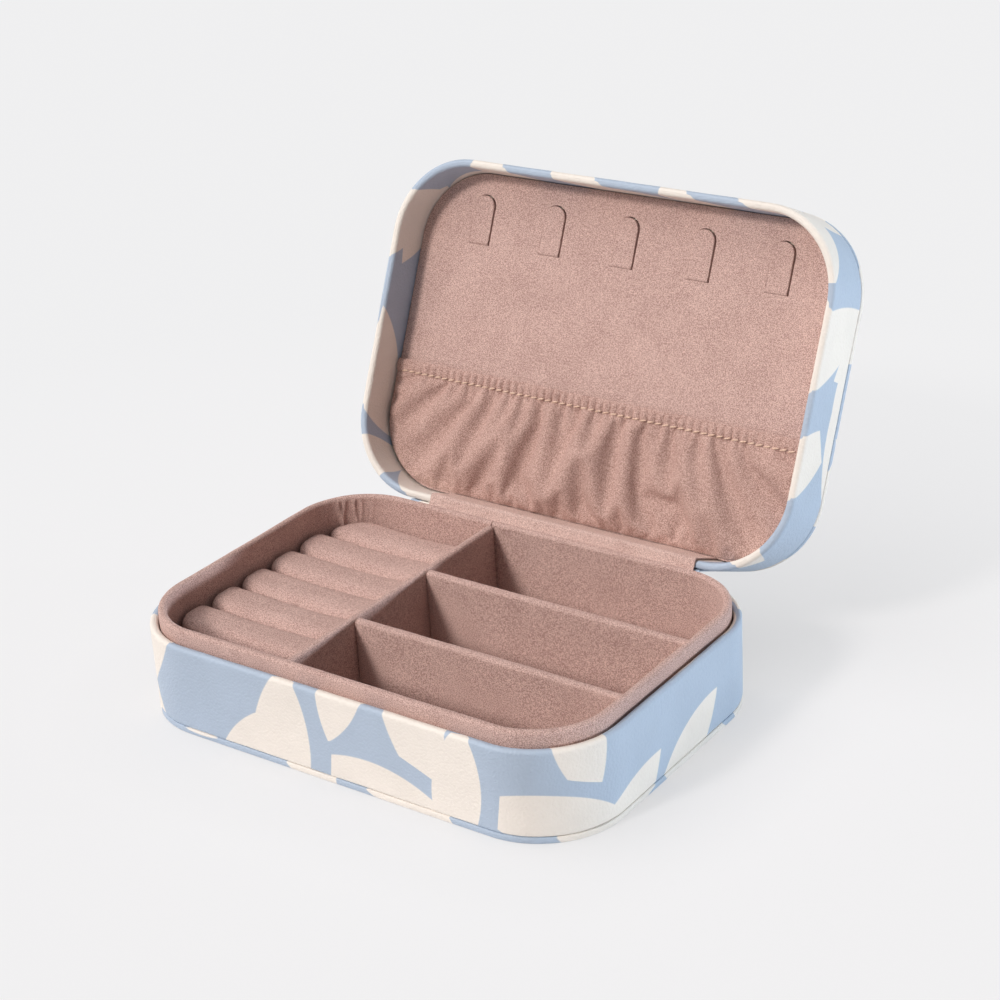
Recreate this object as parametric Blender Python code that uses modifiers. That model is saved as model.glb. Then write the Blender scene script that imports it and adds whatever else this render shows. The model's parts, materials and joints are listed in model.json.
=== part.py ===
"""Travel jewelry case, standing on its base with the lid open.

+X runs along the long side, +Y points to the hinge at the back and +Z is up.
The origin is the middle of the base's underside. All sizes are in metres.

The case is box-maker's work: greyboard rings and panels, each in its own glued skin,
joined by two fabric hinge strips. The lid is built shut, in a frame of its own whose
origin is on the hinge axis and whose +Z runs from the lid's rim to its top panel, and
an empty then turns that frame open.
"""

import math

import bmesh
import bpy
from mathutils import Matrix, Vector

MM = 0.001

# Outside of the case
CASE_LENGTH = 165.0 * MM
CASE_DEPTH = 114.0 * MM
CORNER_RADIUS = 27.0 * MM
BASE_HEIGHT = 29.4 * MM
LID_HEIGHT = 22.0 * MM
SEAM_GAP = 1.3 * MM  # between the two rims when shut, where the hinge lining folds
LID_OPEN_ANGLE = 114.0  # degrees from shut
AXIS_SETBACK = 0.9 * MM  # hinge axis behind the two back walls

# Sheet stock
SKIN = 0.5 * MM  # printed faux leather
SUEDE = 0.5 * MM  # lining cloth
WALL_BOARD = 1.2 * MM
PANEL_BOARD = 1.4 * MM
FLOOR_BOARD = 1.5 * MM
COLLAR_BOARD = 1.2 * MM
DIVIDER_BOARD = 1.6 * MM
LINING_BOARD = 1.8 * MM  # lid lining, suede included
RIM_RADIUS = 1.0 * MM  # where a skin turns over a board's edge
PANEL_EDGE_RADIUS = 0.4 * MM

# Gaps
GLUE_LINE = 0.2 * MM  # between a board and the skin glued on it
CLEARANCE = 0.3 * MM  # between pieces that touch
COLLAR_GAP = 0.4 * MM  # round the collar, which the lid's wall passes

# Tray
COLLAR_RISE = 4.4 * MM  # collar above the base's rim
DIVIDER_DROP = 1.2 * MM  # dividers below the collar's top
LONG_DIVIDER_X = -18.1 * MM
FRONT_DIVIDER_Y = -20.2 * MM
REAR_DIVIDER_Y = 15.7 * MM
RING_BARS = 7
BAR_DROP = 7.2 * MM  # ring bars below the collar's top
BAR_SLACK = 1.0 * MM  # left behind the last bar
BAR_END_RADIUS = 2.0 * MM

# Lid lining
LINING_DEPTH = 14.0 * MM  # from the lid's rim to the suede
TABS = 5
TAB_PITCH = 28.2 * MM
TAB_WIDTH = 7.8 * MM
TAB_LENGTH = 16.2 * MM
TAB_SLIT = 0.4 * MM
TAB_CREASE_INSET = 26.4 * MM  # crease from the lid's free edge
POCKET_DEPTH = 44.7 * MM  # ruffle to the case's back face
POCKET_HEADER = 4.0 * MM  # ruffle above the stitch line
POCKET_CLOTH = 0.6 * MM
POCKET_BULGE = 4.6 * MM
GATHERS = 17
GATHER_HEIGHT = 0.7 * MM
ELASTIC_WIDTH = 3.0 * MM
ELASTIC = 0.5 * MM

# Closing magnets, in notches of the front boards' rims
MAGNET_LENGTH = 15.0 * MM
MAGNET_HEIGHT = 4.0 * MM
MAGNET_X = 30.0 * MM

# Hinge strips
SPINE_LAP = 11.0 * MM  # glued length of the outer strip on each back wall
BEND_RADIUS = 0.9 * MM

# Facets
CORNER_STEPS = 7
ROUND_STEPS = 4

# Sizes that follow
WALL = 2 * SKIN + 2 * GLUE_LINE + WALL_BOARD
PANEL = SKIN + GLUE_LINE + PANEL_BOARD
COLLAR = 2 * SUEDE + 2 * GLUE_LINE + COLLAR_BOARD
DIVIDER = 2 * SUEDE + 2 * GLUE_LINE + DIVIDER_BOARD
HALF_LENGTH = CASE_LENGTH / 2
HALF_DEPTH = CASE_DEPTH / 2
FLOOR_BOTTOM = PANEL + CLEARANCE
FLOOR_TOP = FLOOR_BOTTOM + FLOOR_BOARD
TRAY_BOTTOM = FLOOR_TOP + CLEARANCE
COLLAR_TOP = BASE_HEIGHT + COLLAR_RISE
COLLAR_OUTSIDE = WALL + COLLAR_GAP
COLLAR_INSIDE = COLLAR_OUTSIDE + COLLAR
DIVIDER_TOP = COLLAR_TOP - DIVIDER_DROP
LINED_EDGE = WALL + CLEARANCE
HINGE_LENGTH = CASE_LENGTH - 2 * CORNER_RADIUS
HINGE_AXIS = Vector((0, HALF_DEPTH + AXIS_SETBACK, BASE_HEIGHT + SEAM_GAP))
LID_CENTRE_Y = -HINGE_AXIS.y

COLOURS = {  # linear RGB, roughness
    "printed_leather": ((0.42, 0.53, 0.70), 0.5),
    "suede": ((0.50, 0.33, 0.28), 0.95),
    "greyboard": ((0.36, 0.34, 0.31), 0.9),
    "foam": ((0.75, 0.73, 0.68), 0.95),
    "magnet": ((0.55, 0.55, 0.56), 0.3),
    "elastic": ((0.75, 0.68, 0.58), 0.8),
}

for old in list(bpy.data.objects):
    bpy.data.objects.remove(old, do_unlink=True)

CASE = bpy.data.collections.new("travel_jewelry_case")
GUIDES = bpy.data.collections.new("cutters_and_guides")
bpy.context.scene.collection.children.link(CASE)
bpy.context.scene.collection.children.link(GUIDES)


# ---------------------------------------------------------------- materials and placing


def material(name):
    """The Principled material of one stock, made once."""
    found = bpy.data.materials.get(name)
    if found:
        return found
    colour, roughness = COLOURS[name]
    made = bpy.data.materials.new(name)
    made.use_nodes = True
    shader = made.node_tree.nodes["Principled BSDF"]
    shader.inputs["Base Color"].default_value = (*colour, 1.0)
    shader.inputs["Roughness"].default_value = roughness
    shader.inputs["Metallic"].default_value = 1.0 if name == "magnet" else 0.0
    return made


def place(name, data, stock, parent=None, location=(0, 0, 0)):
    """Make a node of the case from a mesh or a curve."""
    piece = bpy.data.objects.new(name, data)
    CASE.objects.link(piece)
    data.materials.append(material(stock))
    piece.parent = parent
    piece.location = location
    return piece


def guide(name, data):
    """Make a hidden guide or cutter."""
    piece = bpy.data.objects.new(name, data)
    GUIDES.objects.link(piece)
    piece.hide_render = True
    piece.display_type = "WIRE"
    return piece


# ---------------------------------------------------------------- outlines and sections


def arc(centre_x, centre_y, radius, start, end, steps):
    """Points of an arc, angles in degrees, both ends included."""
    turns = [math.radians(start + (end - start) * k / steps) for k in range(steps + 1)]
    return [(centre_x + radius * math.cos(t), centre_y + radius * math.sin(t)) for t in turns]


def case_outline(inset=0.0):
    """The case's rounded rectangle, moved inwards, anticlockwise."""
    radius = CORNER_RADIUS - inset
    x = HALF_LENGTH - CORNER_RADIUS
    y = HALF_DEPTH - CORNER_RADIUS
    return (
        arc(x, y, radius, 0, 90, CORNER_STEPS)
        + arc(-x, y, radius, 90, 180, CORNER_STEPS)
        + arc(-x, -y, radius, 180, 270, CORNER_STEPS)
        + arc(x, -y, radius, 270, 360, CORNER_STEPS)
    )


def reach_at(across, half_along, half_across, inset):
    """How far the inset outline's facets reach along one axis at a place on the other."""
    radius = (CORNER_RADIUS - inset) * math.cos(math.radians(45 / CORNER_STEPS))
    beyond = max(0.0, abs(across) - (half_across - CORNER_RADIUS))
    return half_along - CORNER_RADIUS + math.sqrt(max(0.0, radius**2 - beyond**2))


def fold_section(thickness, height, skin):
    """Section of a skin folded over a board: u across, v from the fold to the open end."""
    corner = min(RIM_RADIUS, 0.45 * thickness)
    inside = skin + GLUE_LINE
    return (
        [(0, height)]
        + arc(corner, corner, corner, 180, 270, ROUND_STEPS)
        + arc(thickness - corner, corner, corner, 270, 360, ROUND_STEPS)
        + [(thickness, height), (thickness - skin, height), (thickness - skin, inside)]
        + [(skin, inside), (skin, height)]
    )


def board_section(thickness, height, skin):
    """Section of the board in such a fold."""
    left = skin + GLUE_LINE
    right = thickness - left
    top = skin + 2 * GLUE_LINE
    return [(left, height), (left, top), (right, top), (right, height)]


def tab_outline(grow=0.0):
    """Arched tab: crease on y = 0, round end towards -y."""
    half = TAB_WIDTH / 2 + grow
    start = TAB_LENGTH - TAB_WIDTH / 2
    return [(half, grow), (-half, grow)] + arc(0, -start, half, 180, 360, 2 * ROUND_STEPS)


def soft_path(points, radius, steps):
    """A bent line whose corners are rounded, as sheet stock bends."""
    rounded = [points[0]]
    for before, corner, after in zip(points, points[1:], points[2:]):
        inwards = (before - corner).normalized() * min(radius, (before - corner).length / 2)
        outwards = (after - corner).normalized() * min(radius, (after - corner).length / 2)
        for k in range(steps + 1):
            t = k / steps
            rounded.append(corner + inwards * (1 - t) ** 2 + outwards * t**2)
    return rounded + [points[-1]]


# ---------------------------------------------------------------- curve and mesh makers


def flat_curve(name, splines, cyclic=True):
    """A 2D curve of straight-sided splines."""
    curve = bpy.data.curves.new(name, "CURVE")
    curve.dimensions = "2D"
    for points in splines:
        spline = curve.splines.new("POLY")
        spline.points.add(len(points) - 1)
        for point, (x, y) in zip(spline.points, points):
            point.co = (x, y, 0, 1)
        spline.use_cyclic_u = cyclic
    return curve


def plate(name, splines, bottom, thickness, stock, parent=None, location=(0, 0, 0)):
    """Flat sheet stock with the given outline and holes."""
    curve = flat_curve(name, splines)
    curve.fill_mode = "BOTH"
    curve.extrude = thickness / 2
    middle = Vector(location) + Vector((0, 0, bottom + thickness / 2))
    return place(name, curve, stock, parent, middle)


def ring(name, section, inset, rim, towards, stock, parent=None, location=(0, 0, 0)):
    """A wall round the case: a section of (inset, distance from the rim), swept round.

    towards is -1 where the wall hangs below its rim and +1 where it rises from it.
    """
    points = [(inset + u, rim + towards * v) for u, v in section]
    if towards > 0:
        points.reverse()
    profile = guide(name + "_section", flat_curve(name + "_section", [points]))
    path = flat_curve(name, [case_outline()])
    path.fill_mode = "NONE"
    path.bevel_mode = "OBJECT"
    path.bevel_object = profile
    return place(name, path, stock, parent, location)


def mesh_of(curve_object):
    """Replace a swept curve by its mesh, so that it can be cut."""
    bpy.context.view_layer.update()
    evaluated = curve_object.evaluated_get(bpy.context.evaluated_depsgraph_get())
    mesh = bpy.data.meshes.new_from_object(evaluated)
    made = bpy.data.objects.new(curve_object.name, mesh)
    CASE.objects.link(made)
    made.parent = curve_object.parent
    made.location = curve_object.location
    name = curve_object.name
    bpy.data.objects.remove(curve_object, do_unlink=True)
    made.name = name
    return made


def box_mesh(name, size, centre):
    """A box of the given size round a centre."""
    bm = bmesh.new()
    bmesh.ops.create_cube(bm, size=1.0)
    bmesh.ops.scale(bm, vec=size, verts=bm.verts)
    bmesh.ops.translate(bm, vec=centre, verts=bm.verts)
    mesh = bpy.data.meshes.new(name)
    bm.to_mesh(mesh)
    bm.free()
    return mesh


def cut(piece, cutters):
    """Take cutters out of a piece."""
    for cutter in cutters:
        cutter.parent = piece.parent
        cutter.location = piece.location
        boolean = piece.modifiers.new("cut", "BOOLEAN")
        boolean.operation = "DIFFERENCE"
        boolean.object = cutter


# ---------------------------------------------------------------- wrapped walls and panels


def wrapped_wall(skin_name, board_name, stock, skin, thickness, inset, rim, towards, height,
                 parent=None, location=(0, 0, 0)):
    """A board ring and the skin that turns over its rim; returns the board."""
    folded = fold_section(thickness, height, skin)
    ring(skin_name, folded, inset, rim, towards, stock, parent, location)
    board = board_section(thickness, height, skin)
    return ring(board_name, board, inset, rim, towards, "greyboard", parent, location)


def wrapped_panel(skin_name, board_name, face, inwards, parent=None, location=(0, 0, 0)):
    """A flat board in a shallow dish of printed skin, face outwards."""
    bm = bmesh.new()
    corners = [bm.verts.new((x, y, 0)) for x, y in case_outline()]
    floor = bm.faces.new(corners)
    skirt = bmesh.ops.extrude_edge_only(bm, edges=floor.edges[:])["geom"]
    risen = [v for v in skirt if isinstance(v, bmesh.types.BMVert)]
    bmesh.ops.translate(bm, vec=(0, 0, PANEL), verts=risen)
    bmesh.ops.recalc_face_normals(bm, faces=bm.faces)
    if floor.normal.z > 0:
        bmesh.ops.reverse_faces(bm, faces=bm.faces)
    fold = bm.edges.layers.float.new("bevel_weight_edge")
    for edge in floor.edges:
        edge[fold] = 1.0
    if inwards < 0:
        bmesh.ops.scale(bm, vec=(1, 1, -1), verts=bm.verts)
        bmesh.ops.reverse_faces(bm, faces=bm.faces)
    mesh = bpy.data.meshes.new(skin_name)
    bm.to_mesh(mesh)
    bm.free()
    dish = place(skin_name, mesh, "printed_leather", parent, Vector(location) + Vector((0, 0, face)))
    shell = dish.modifiers.new("shell", "SOLIDIFY")
    shell.thickness = SKIN
    shell.offset = -1
    shell.use_even_offset = True
    edge_round = dish.modifiers.new("edge", "BEVEL")
    edge_round.width = min(PANEL_EDGE_RADIUS, 0.9 * SKIN)
    edge_round.segments = 2
    edge_round.limit_method = "WEIGHT"
    board_inset = SKIN + GLUE_LINE
    bottom = face + inwards * (SKIN + GLUE_LINE + PANEL_BOARD / 2) - PANEL_BOARD / 2
    plate(board_name, [case_outline(board_inset)], bottom, PANEL_BOARD, "greyboard", parent, location)


def magnets(board, prefix, rim, towards, centre_y, parent=None):
    """Two bar magnets and the notches that they fill in the front board's rim."""
    board_rim = rim + towards * (SKIN + 2 * GLUE_LINE)
    y = centre_y - HALF_DEPTH + WALL / 2
    cutters = []
    for side, name in ((-1, "left"), (1, "right")):
        x = side * MAGNET_X
        notch_size = (MAGNET_LENGTH + 2 * GLUE_LINE, WALL, 2 * (MAGNET_HEIGHT + GLUE_LINE))
        notch = box_mesh(f"{prefix}_notch_{name}", notch_size, (x, y - board.location.y, board_rim))
        cutters.append(guide(f"{prefix}_notch_{name}", notch))
        middle = board_rim + towards * MAGNET_HEIGHT / 2
        bar = box_mesh(f"{prefix}_magnet_{name}", (MAGNET_LENGTH, WALL_BOARD, MAGNET_HEIGHT), (0, 0, 0))
        place(f"{prefix}_magnet_{name}", bar, "magnet", parent, (x, y, middle))
    cut(board, cutters)


# ---------------------------------------------------------------- base


def base_shell():
    """Bottom panel, wall and front magnets of the base."""
    wrapped_panel("base_bottom_wrap", "base_bottom_board", 0.0, 1)
    height = BASE_HEIGHT - PANEL - GLUE_LINE
    board = wrapped_wall("base_wall_wrap", "base_wall_frame", "printed_leather", SKIN, WALL, 0.0,
                         BASE_HEIGHT, -1, height)
    magnets(mesh_of(board), "base", BASE_HEIGHT, -1, 0.0)


def tray():
    """Floor and collar of the lined tray."""
    plate("tray_floor", [case_outline(LINED_EDGE)], FLOOR_BOTTOM, FLOOR_BOARD, "suede")
    height = COLLAR_TOP - TRAY_BOTTOM
    wrapped_wall("tray_collar_lining", "tray_collar_board", "suede", SUEDE, COLLAR, COLLAR_OUTSIDE,
                 COLLAR_TOP, -1, height)


def divider(name, start, end):
    """A board in a folded suede sleeve, standing on the floor from start to end."""
    run = end - start
    middle = (start + end) / 2
    height = DIVIDER_TOP - TRAY_BOTTOM
    turn = Matrix.Rotation(math.atan2(run.y, run.x), 4, "Z") @ Matrix.Rotation(math.pi / 2, 4, "Y")
    turn = turn @ Matrix.Rotation(math.pi / 2, 4, "Z")
    for kind, stock, section in (
        ("wrap", "suede", fold_section(DIVIDER, height, SUEDE)),
        ("board", "greyboard", board_section(DIVIDER, height, SUEDE)),
    ):
        centred = [(u - DIVIDER / 2, height - v) for u, v in section]
        curve = flat_curve(f"{name}_{kind}", [centred])
        curve.fill_mode = "BOTH"
        curve.extrude = run.length / 2
        piece = place(f"{name}_{kind}", curve, stock)
        piece.matrix_world = Matrix.Translation((middle.x, middle.y, TRAY_BOTTOM)) @ turn


def dividers():
    """One divider from front to back and two from it to the right wall."""
    along = HALF_DEPTH - COLLAR_INSIDE - CLEARANCE
    divider("long_divider", Vector((LONG_DIVIDER_X, -along)), Vector((LONG_DIVIDER_X, along)))
    left = LONG_DIVIDER_X + DIVIDER / 2 + CLEARANCE
    for name, y in (("front_divider", FRONT_DIVIDER_Y), ("rear_divider", REAR_DIVIDER_Y)):
        far_side = abs(y) + DIVIDER / 2
        right = reach_at(far_side, HALF_LENGTH, HALF_DEPTH, COLLAR_INSIDE + CLEARANCE)
        divider(name, Vector((left, y)), Vector((right, y)))


def bar_section(width, height):
    """Foam bar seen from its end: flat foot, upright sides and a round top, y and z."""
    half = width / 2
    return [(half, 0.0)] + arc(0, height - half, half, 0, 180, 2 * CORNER_STEPS) + [(-half, 0.0)]


def ring_bar(name, centre_y, width):
    """A foam bar, round at its left end, where it follows the collar's corner."""
    height = COLLAR_TOP - BAR_DROP - TRAY_BOTTOM
    right = LONG_DIVIDER_X - DIVIDER / 2 - CLEARANCE
    radius = min(BAR_END_RADIUS, 0.9 * width / 2)
    steps = [radius * (1 - math.cos(math.radians(90 * k / ROUND_STEPS))) for k in range(ROUND_STEPS + 1)]
    bm = bmesh.new()
    section = [bm.verts.new((0, y, z)) for y, z in bar_section(width, height)]
    face = bm.faces.new(section)
    stations = [section]
    for number in range(len(steps)):
        made = bmesh.ops.extrude_face_region(bm, geom=[face])["geom"]
        if number:
            bmesh.ops.delete(bm, geom=[face], context="FACES_ONLY")
        face = next(g for g in made if isinstance(g, bmesh.types.BMFace))
        stations.append([v for v in made if isinstance(v, bmesh.types.BMVert)])
    for number, station in enumerate(stations):
        last = number == len(steps)
        inset = 0.0 if last else radius - math.sqrt(max(0.0, radius**2 - (radius - steps[number]) ** 2))
        for vertex in station:
            y = vertex.co.y * (1 - 2 * inset / width)
            reach = reach_at(centre_y + y, HALF_LENGTH, HALF_DEPTH, COLLAR_INSIDE + CLEARANCE)
            vertex.co = (right if last else steps[number] - reach, y, vertex.co.z * (1 - inset / height))
    bmesh.ops.recalc_face_normals(bm, faces=bm.faces)
    mesh = bpy.data.meshes.new(name)
    bm.to_mesh(mesh)
    bm.free()
    mesh.shade_smooth()
    mesh.set_sharp_from_angle(angle=math.radians(50))
    place(name, mesh, "suede", None, (0, centre_y, TRAY_BOTTOM))


def ring_bars():
    """The row of foam bars in the left bay; rings are pushed between them."""
    bay = 2 * (HALF_DEPTH - COLLAR_INSIDE)
    pitch = (bay - CLEARANCE - BAR_SLACK) / RING_BARS
    width = pitch - CLEARANCE
    front = -bay / 2 + CLEARANCE + width / 2
    for number in range(RING_BARS):
        ring_bar(f"ring_bar_{number + 1}", front + number * pitch, width)


# ---------------------------------------------------------------- lid


def lid_frame():
    """The lid's own frame: an empty on the hinge axis, turned open."""
    axis = bpy.data.objects.new("lid_hinge", None)
    GUIDES.objects.link(axis)
    axis.location = HINGE_AXIS
    axis.rotation_euler.x = -math.radians(LID_OPEN_ANGLE)
    return axis


def lid_shell(axis):
    """Top panel, wall, front magnets and filling pad of the lid."""
    centre = (0, LID_CENTRE_Y, 0)
    wrapped_panel("lid_top_wrap", "lid_top_board", LID_HEIGHT, -1, axis, centre)
    height = LID_HEIGHT - PANEL - GLUE_LINE
    board = wrapped_wall("lid_wall_wrap", "lid_wall_frame", "printed_leather", SKIN, WALL, 0.0,
                         0.0, 1, height, axis, centre)
    magnets(mesh_of(board), "lid", 0.0, 1, LID_CENTRE_Y, axis)
    bottom = LINING_DEPTH + LINING_BOARD + CLEARANCE
    thickness = LID_HEIGHT - PANEL - CLEARANCE - bottom
    plate("lid_pad", [case_outline(LINED_EDGE)], bottom, thickness, "foam", axis, centre)


def lid_lining(axis):
    """Suede-covered board with the tabs cut in it, and the tabs themselves."""
    crease = TAB_CREASE_INSET - HALF_DEPTH
    places = [(k - (TABS - 1) / 2) * TAB_PITCH for k in range(TABS)]
    slots = [[(x + u, crease + v) for u, v in tab_outline(TAB_SLIT)] for x in places]
    outline = case_outline(LINED_EDGE)
    centre = (0, LID_CENTRE_Y, 0)
    plate("lid_lining", [outline] + slots, LINING_DEPTH, LINING_BOARD, "suede", axis, centre)
    for number, x in enumerate(places):
        at = (x, LID_CENTRE_Y + crease, LINING_DEPTH)
        name = f"necklace_tab_{number + 1}"
        plate(name, [tab_outline()], 0.0, LINING_BOARD, "suede", axis, at)


def pocket_height(across, down):
    """Pocket cloth above the lining: across is -1 to 1, down is 0 at the mouth and 1 at the foot."""
    mouth = (ELASTIC + CLEARANCE) * (1 - down)
    swell = POCKET_BULGE * math.sin(math.pi * down) ** 0.7 * (1 - across**6)
    gather = GATHER_HEIGHT * (0.5 + 0.5 * math.cos(GATHERS * math.pi * across))
    return CLEARANCE + mouth + swell + gather * (1 - down) ** 2 * (1 - across**6)


def pocket(axis):
    """Gathered pocket over the foot of the lining, and the elastic in its hem."""
    edge = LINED_EDGE + SUEDE + 2 * CLEARANCE
    mouth_y = HALF_DEPTH - POCKET_DEPTH
    half = HALF_LENGTH - edge
    bm = bmesh.new()
    bmesh.ops.create_grid(bm, x_segments=4 * GATHERS, y_segments=10, size=1.0)
    for vertex in bm.verts:
        across, down = vertex.co.x, (vertex.co.y + 1) / 2
        x = half * across
        foot_y = reach_at(x, HALF_DEPTH, HALF_LENGTH, edge)
        y = mouth_y + (foot_y - mouth_y) * down
        vertex.co = (x, y, LINING_DEPTH - pocket_height(across, down))
    bmesh.ops.reverse_faces(bm, faces=bm.faces)
    mesh = bpy.data.meshes.new("lid_pocket")
    bm.to_mesh(mesh)
    bm.free()
    mesh.shade_smooth()
    cloth = place("lid_pocket", mesh, "suede", axis, (0, LID_CENTRE_Y, 0))
    shell = cloth.modifiers.new("cloth", "SOLIDIFY")
    shell.thickness = POCKET_CLOTH
    shell.offset = 1
    length = 2 * (half - ELASTIC_WIDTH)
    band = box_mesh("pocket_elastic", (length, ELASTIC_WIDTH, ELASTIC), (0, 0, 0))
    y = LID_CENTRE_Y + mouth_y + POCKET_HEADER - ELASTIC_WIDTH / 2
    place("pocket_elastic", band, "elastic", axis, (0, y, LINING_DEPTH - CLEARANCE - ELASTIC / 2))


# ---------------------------------------------------------------- hinge


def in_world(inset, rise):
    """A point of the open lid, from its back face inwards and from its rim, as (y, z)."""
    turn = Matrix.Rotation(-math.radians(LID_OPEN_ANGLE), 3, "X")
    point = HINGE_AXIS + turn @ Vector((0, -AXIS_SETBACK - inset, rise))
    return Vector((point.y, point.z))


def strip(name, path, thickness, stock):
    """A strip of sheet stock along the hinge, bent along its path in y and z."""
    points = [(p.x, p.y) for p in soft_path(path, BEND_RADIUS, ROUND_STEPS)]
    curve = flat_curve(name, [points], cyclic=False)
    curve.fill_mode = "NONE"
    curve.extrude = HINGE_LENGTH / 2
    piece = place(name, curve, stock)
    piece.matrix_world = Matrix(((0, 0, 1, 0), (1, 0, 0, 0), (0, 1, 0, 0), (0, 0, 0, 1)))
    body = piece.modifiers.new("stock", "SOLIDIFY")
    body.thickness = thickness
    body.offset = 0
    body.use_even_offset = True


def hinge():
    """Suede lining over the two back rims, and the printed strip on the two back walls."""
    inner = CLEARANCE + SUEDE / 2
    collar_face = HALF_DEPTH - COLLAR_OUTSIDE
    lining = [
        Vector((collar_face + CLEARANCE, BASE_HEIGHT + inner)),
        Vector((HALF_DEPTH - RIM_RADIUS, BASE_HEIGHT + inner)),
        in_world(0.0, -inner),
        in_world(WALL + inner, -inner),
        in_world(WALL + inner, LINING_DEPTH - CLEARANCE),
    ]
    strip("hinge_lining", lining, SUEDE, "suede")
    outer = CLEARANCE + SKIN / 2
    spine = [
        Vector((HALF_DEPTH + outer, BASE_HEIGHT - SPINE_LAP)),
        Vector((HALF_DEPTH + outer, BASE_HEIGHT + SEAM_GAP / 2)),
        in_world(-outer, SEAM_GAP / 2),
        in_world(-outer, SPINE_LAP),
    ]
    strip("hinge_spine", spine, SKIN, "printed_leather")


base_shell()
tray()
dividers()
ring_bars()
LID_AXIS = lid_frame()
lid_shell(LID_AXIS)
lid_lining(LID_AXIS)
pocket(LID_AXIS)
hinge()
bpy.context.view_layer.update()
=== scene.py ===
# %% [markdown]
# # A travel jewelry case
#
# The case is made as a box maker makes one: greyboard rings and panels, each wrapped in printed
# faux leather or microsuede, joined by two fabric hinge strips. The solid model holds the real sizes,
# so this lesson loads it as a fixed frame and models the soft, hand-wrapped skins round it.

# %% Load the frame
import json
import math

import bpy
import numpy as np
from mathutils import Matrix, Vector


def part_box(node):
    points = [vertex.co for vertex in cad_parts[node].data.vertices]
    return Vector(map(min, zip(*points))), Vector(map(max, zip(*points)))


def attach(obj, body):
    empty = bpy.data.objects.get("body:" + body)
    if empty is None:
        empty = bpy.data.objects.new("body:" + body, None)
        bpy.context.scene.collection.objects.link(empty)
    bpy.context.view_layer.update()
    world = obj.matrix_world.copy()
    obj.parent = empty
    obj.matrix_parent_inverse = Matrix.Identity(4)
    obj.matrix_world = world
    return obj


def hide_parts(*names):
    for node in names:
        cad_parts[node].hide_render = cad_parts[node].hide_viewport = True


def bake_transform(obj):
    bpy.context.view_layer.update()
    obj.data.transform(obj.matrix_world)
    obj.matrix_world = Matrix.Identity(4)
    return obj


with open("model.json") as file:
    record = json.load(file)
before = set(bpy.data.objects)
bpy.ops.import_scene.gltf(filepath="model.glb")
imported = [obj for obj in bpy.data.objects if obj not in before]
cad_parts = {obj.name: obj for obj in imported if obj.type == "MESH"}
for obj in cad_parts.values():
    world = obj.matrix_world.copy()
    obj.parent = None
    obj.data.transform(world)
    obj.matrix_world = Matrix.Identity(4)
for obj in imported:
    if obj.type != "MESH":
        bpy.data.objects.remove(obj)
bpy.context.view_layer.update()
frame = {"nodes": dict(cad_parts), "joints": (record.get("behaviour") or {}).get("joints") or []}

MM = 0.001
nodes = frame["nodes"]
print("nodes:", len(nodes))

# %% [markdown]
# ## Sizes
#
# The frame gives the outside sizes. The lid stands open, which makes it awkward to model, so its
# pieces are made as if the case were shut and one matrix then opens them about the hinge.
# The same matrix, inverted, measures the lid's nodes as if they were shut.

# %% Read the sizes from the frame
hinge = next(joint for joint in frame["joints"] if joint["name"] == "lid_hinge")
AXIS = Vector(hinge["pos_m"])
TURN = Matrix.Rotation(-math.radians(hinge["range_deg"][1]), 4, "X")
OPEN = Matrix.Translation(AXIS) @ TURN @ Matrix.Translation(-AXIS)


def shut_box(name):
    """Lowest and highest corner of a lid node, measured with the lid shut."""
    to_shut = OPEN.inverted()
    corners = np.array([to_shut @ vertex.co for vertex in nodes[name].data.vertices])
    return Vector(corners.min(axis=0)), Vector(corners.max(axis=0))


wall_low, wall_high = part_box("base_wall_wrap")
LENGTH = wall_high.x - wall_low.x
DEPTH = wall_high.y - wall_low.y
BASE_RIM = wall_high.z
LID_RIM = shut_box("lid_wall_wrap")[0].z
LINING_FACE = shut_box("lid_lining")[0].z
CORNER_RADIUS = 27.0 * MM
WALL = 2.6 * MM  # board and both skins
SKIN = 0.5 * MM  # one skin, leather or suede
SAME = 1e-6  # m; points closer than this count as one place
print("case, mm:", round(LENGTH / MM, 1), "x", round(DEPTH / MM, 1), "rim", round(BASE_RIM / MM, 1))

# %% [markdown]
# ## Modelling helpers
#
# Operators act on whatever is selected, so each step first selects exactly what it needs.
# `pick` selects by a test in code, which stands for the clicks of a hand modeller. The others are the
# few moves that every piece needs, such as starting it from a plane, extruding it and dividing it.

# %% Helpers for selecting
KINDS = ("VERT", "EDGE", "FACE")


def activate(piece):
    """Leave edit mode and select one piece alone."""
    if bpy.context.object and bpy.context.object.mode != "OBJECT":
        bpy.ops.object.mode_set(mode="OBJECT")
    bpy.ops.object.select_all(action="DESELECT")
    if piece:
        piece.select_set(True)
        bpy.context.view_layer.objects.active = piece


def pick(piece, kind, test):
    """Enter edit mode with the vertices, edges or faces selected that pass a test."""
    activate(piece)
    mesh = piece.data
    groups = dict(zip(KINDS, (mesh.vertices, mesh.edges, mesh.polygons)))
    for group in groups.values():
        group.foreach_set("select", np.zeros(len(group), dtype=bool))
    for item in groups[kind]:
        item.select = bool(test(item))
    bpy.context.tool_settings.mesh_select_mode = [kind == each for each in KINDS]
    bpy.ops.object.mode_set(mode="EDIT")


# %% Helpers for making a piece
STARTS = {"plane": bpy.ops.mesh.primitive_plane_add, "cube": bpy.ops.mesh.primitive_cube_add}


def named(name):
    """Name the piece that has just been made."""
    piece = bpy.context.object
    piece.name = piece.data.name = name
    return piece


def settle(piece):
    """Bring a piece's place, turn and size into its mesh and leave the object at the origin."""
    activate(piece)
    bpy.ops.object.transform_apply(location=True, rotation=True, scale=True)


def start_from(shape, name, size, place=(0, 0, 0)):
    """Start a piece from a plane or a cube of a given size."""
    activate(None)
    STARTS[shape](size=1.0, location=place)
    piece = named(name)
    piece.scale = size
    settle(piece)
    return piece


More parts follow.
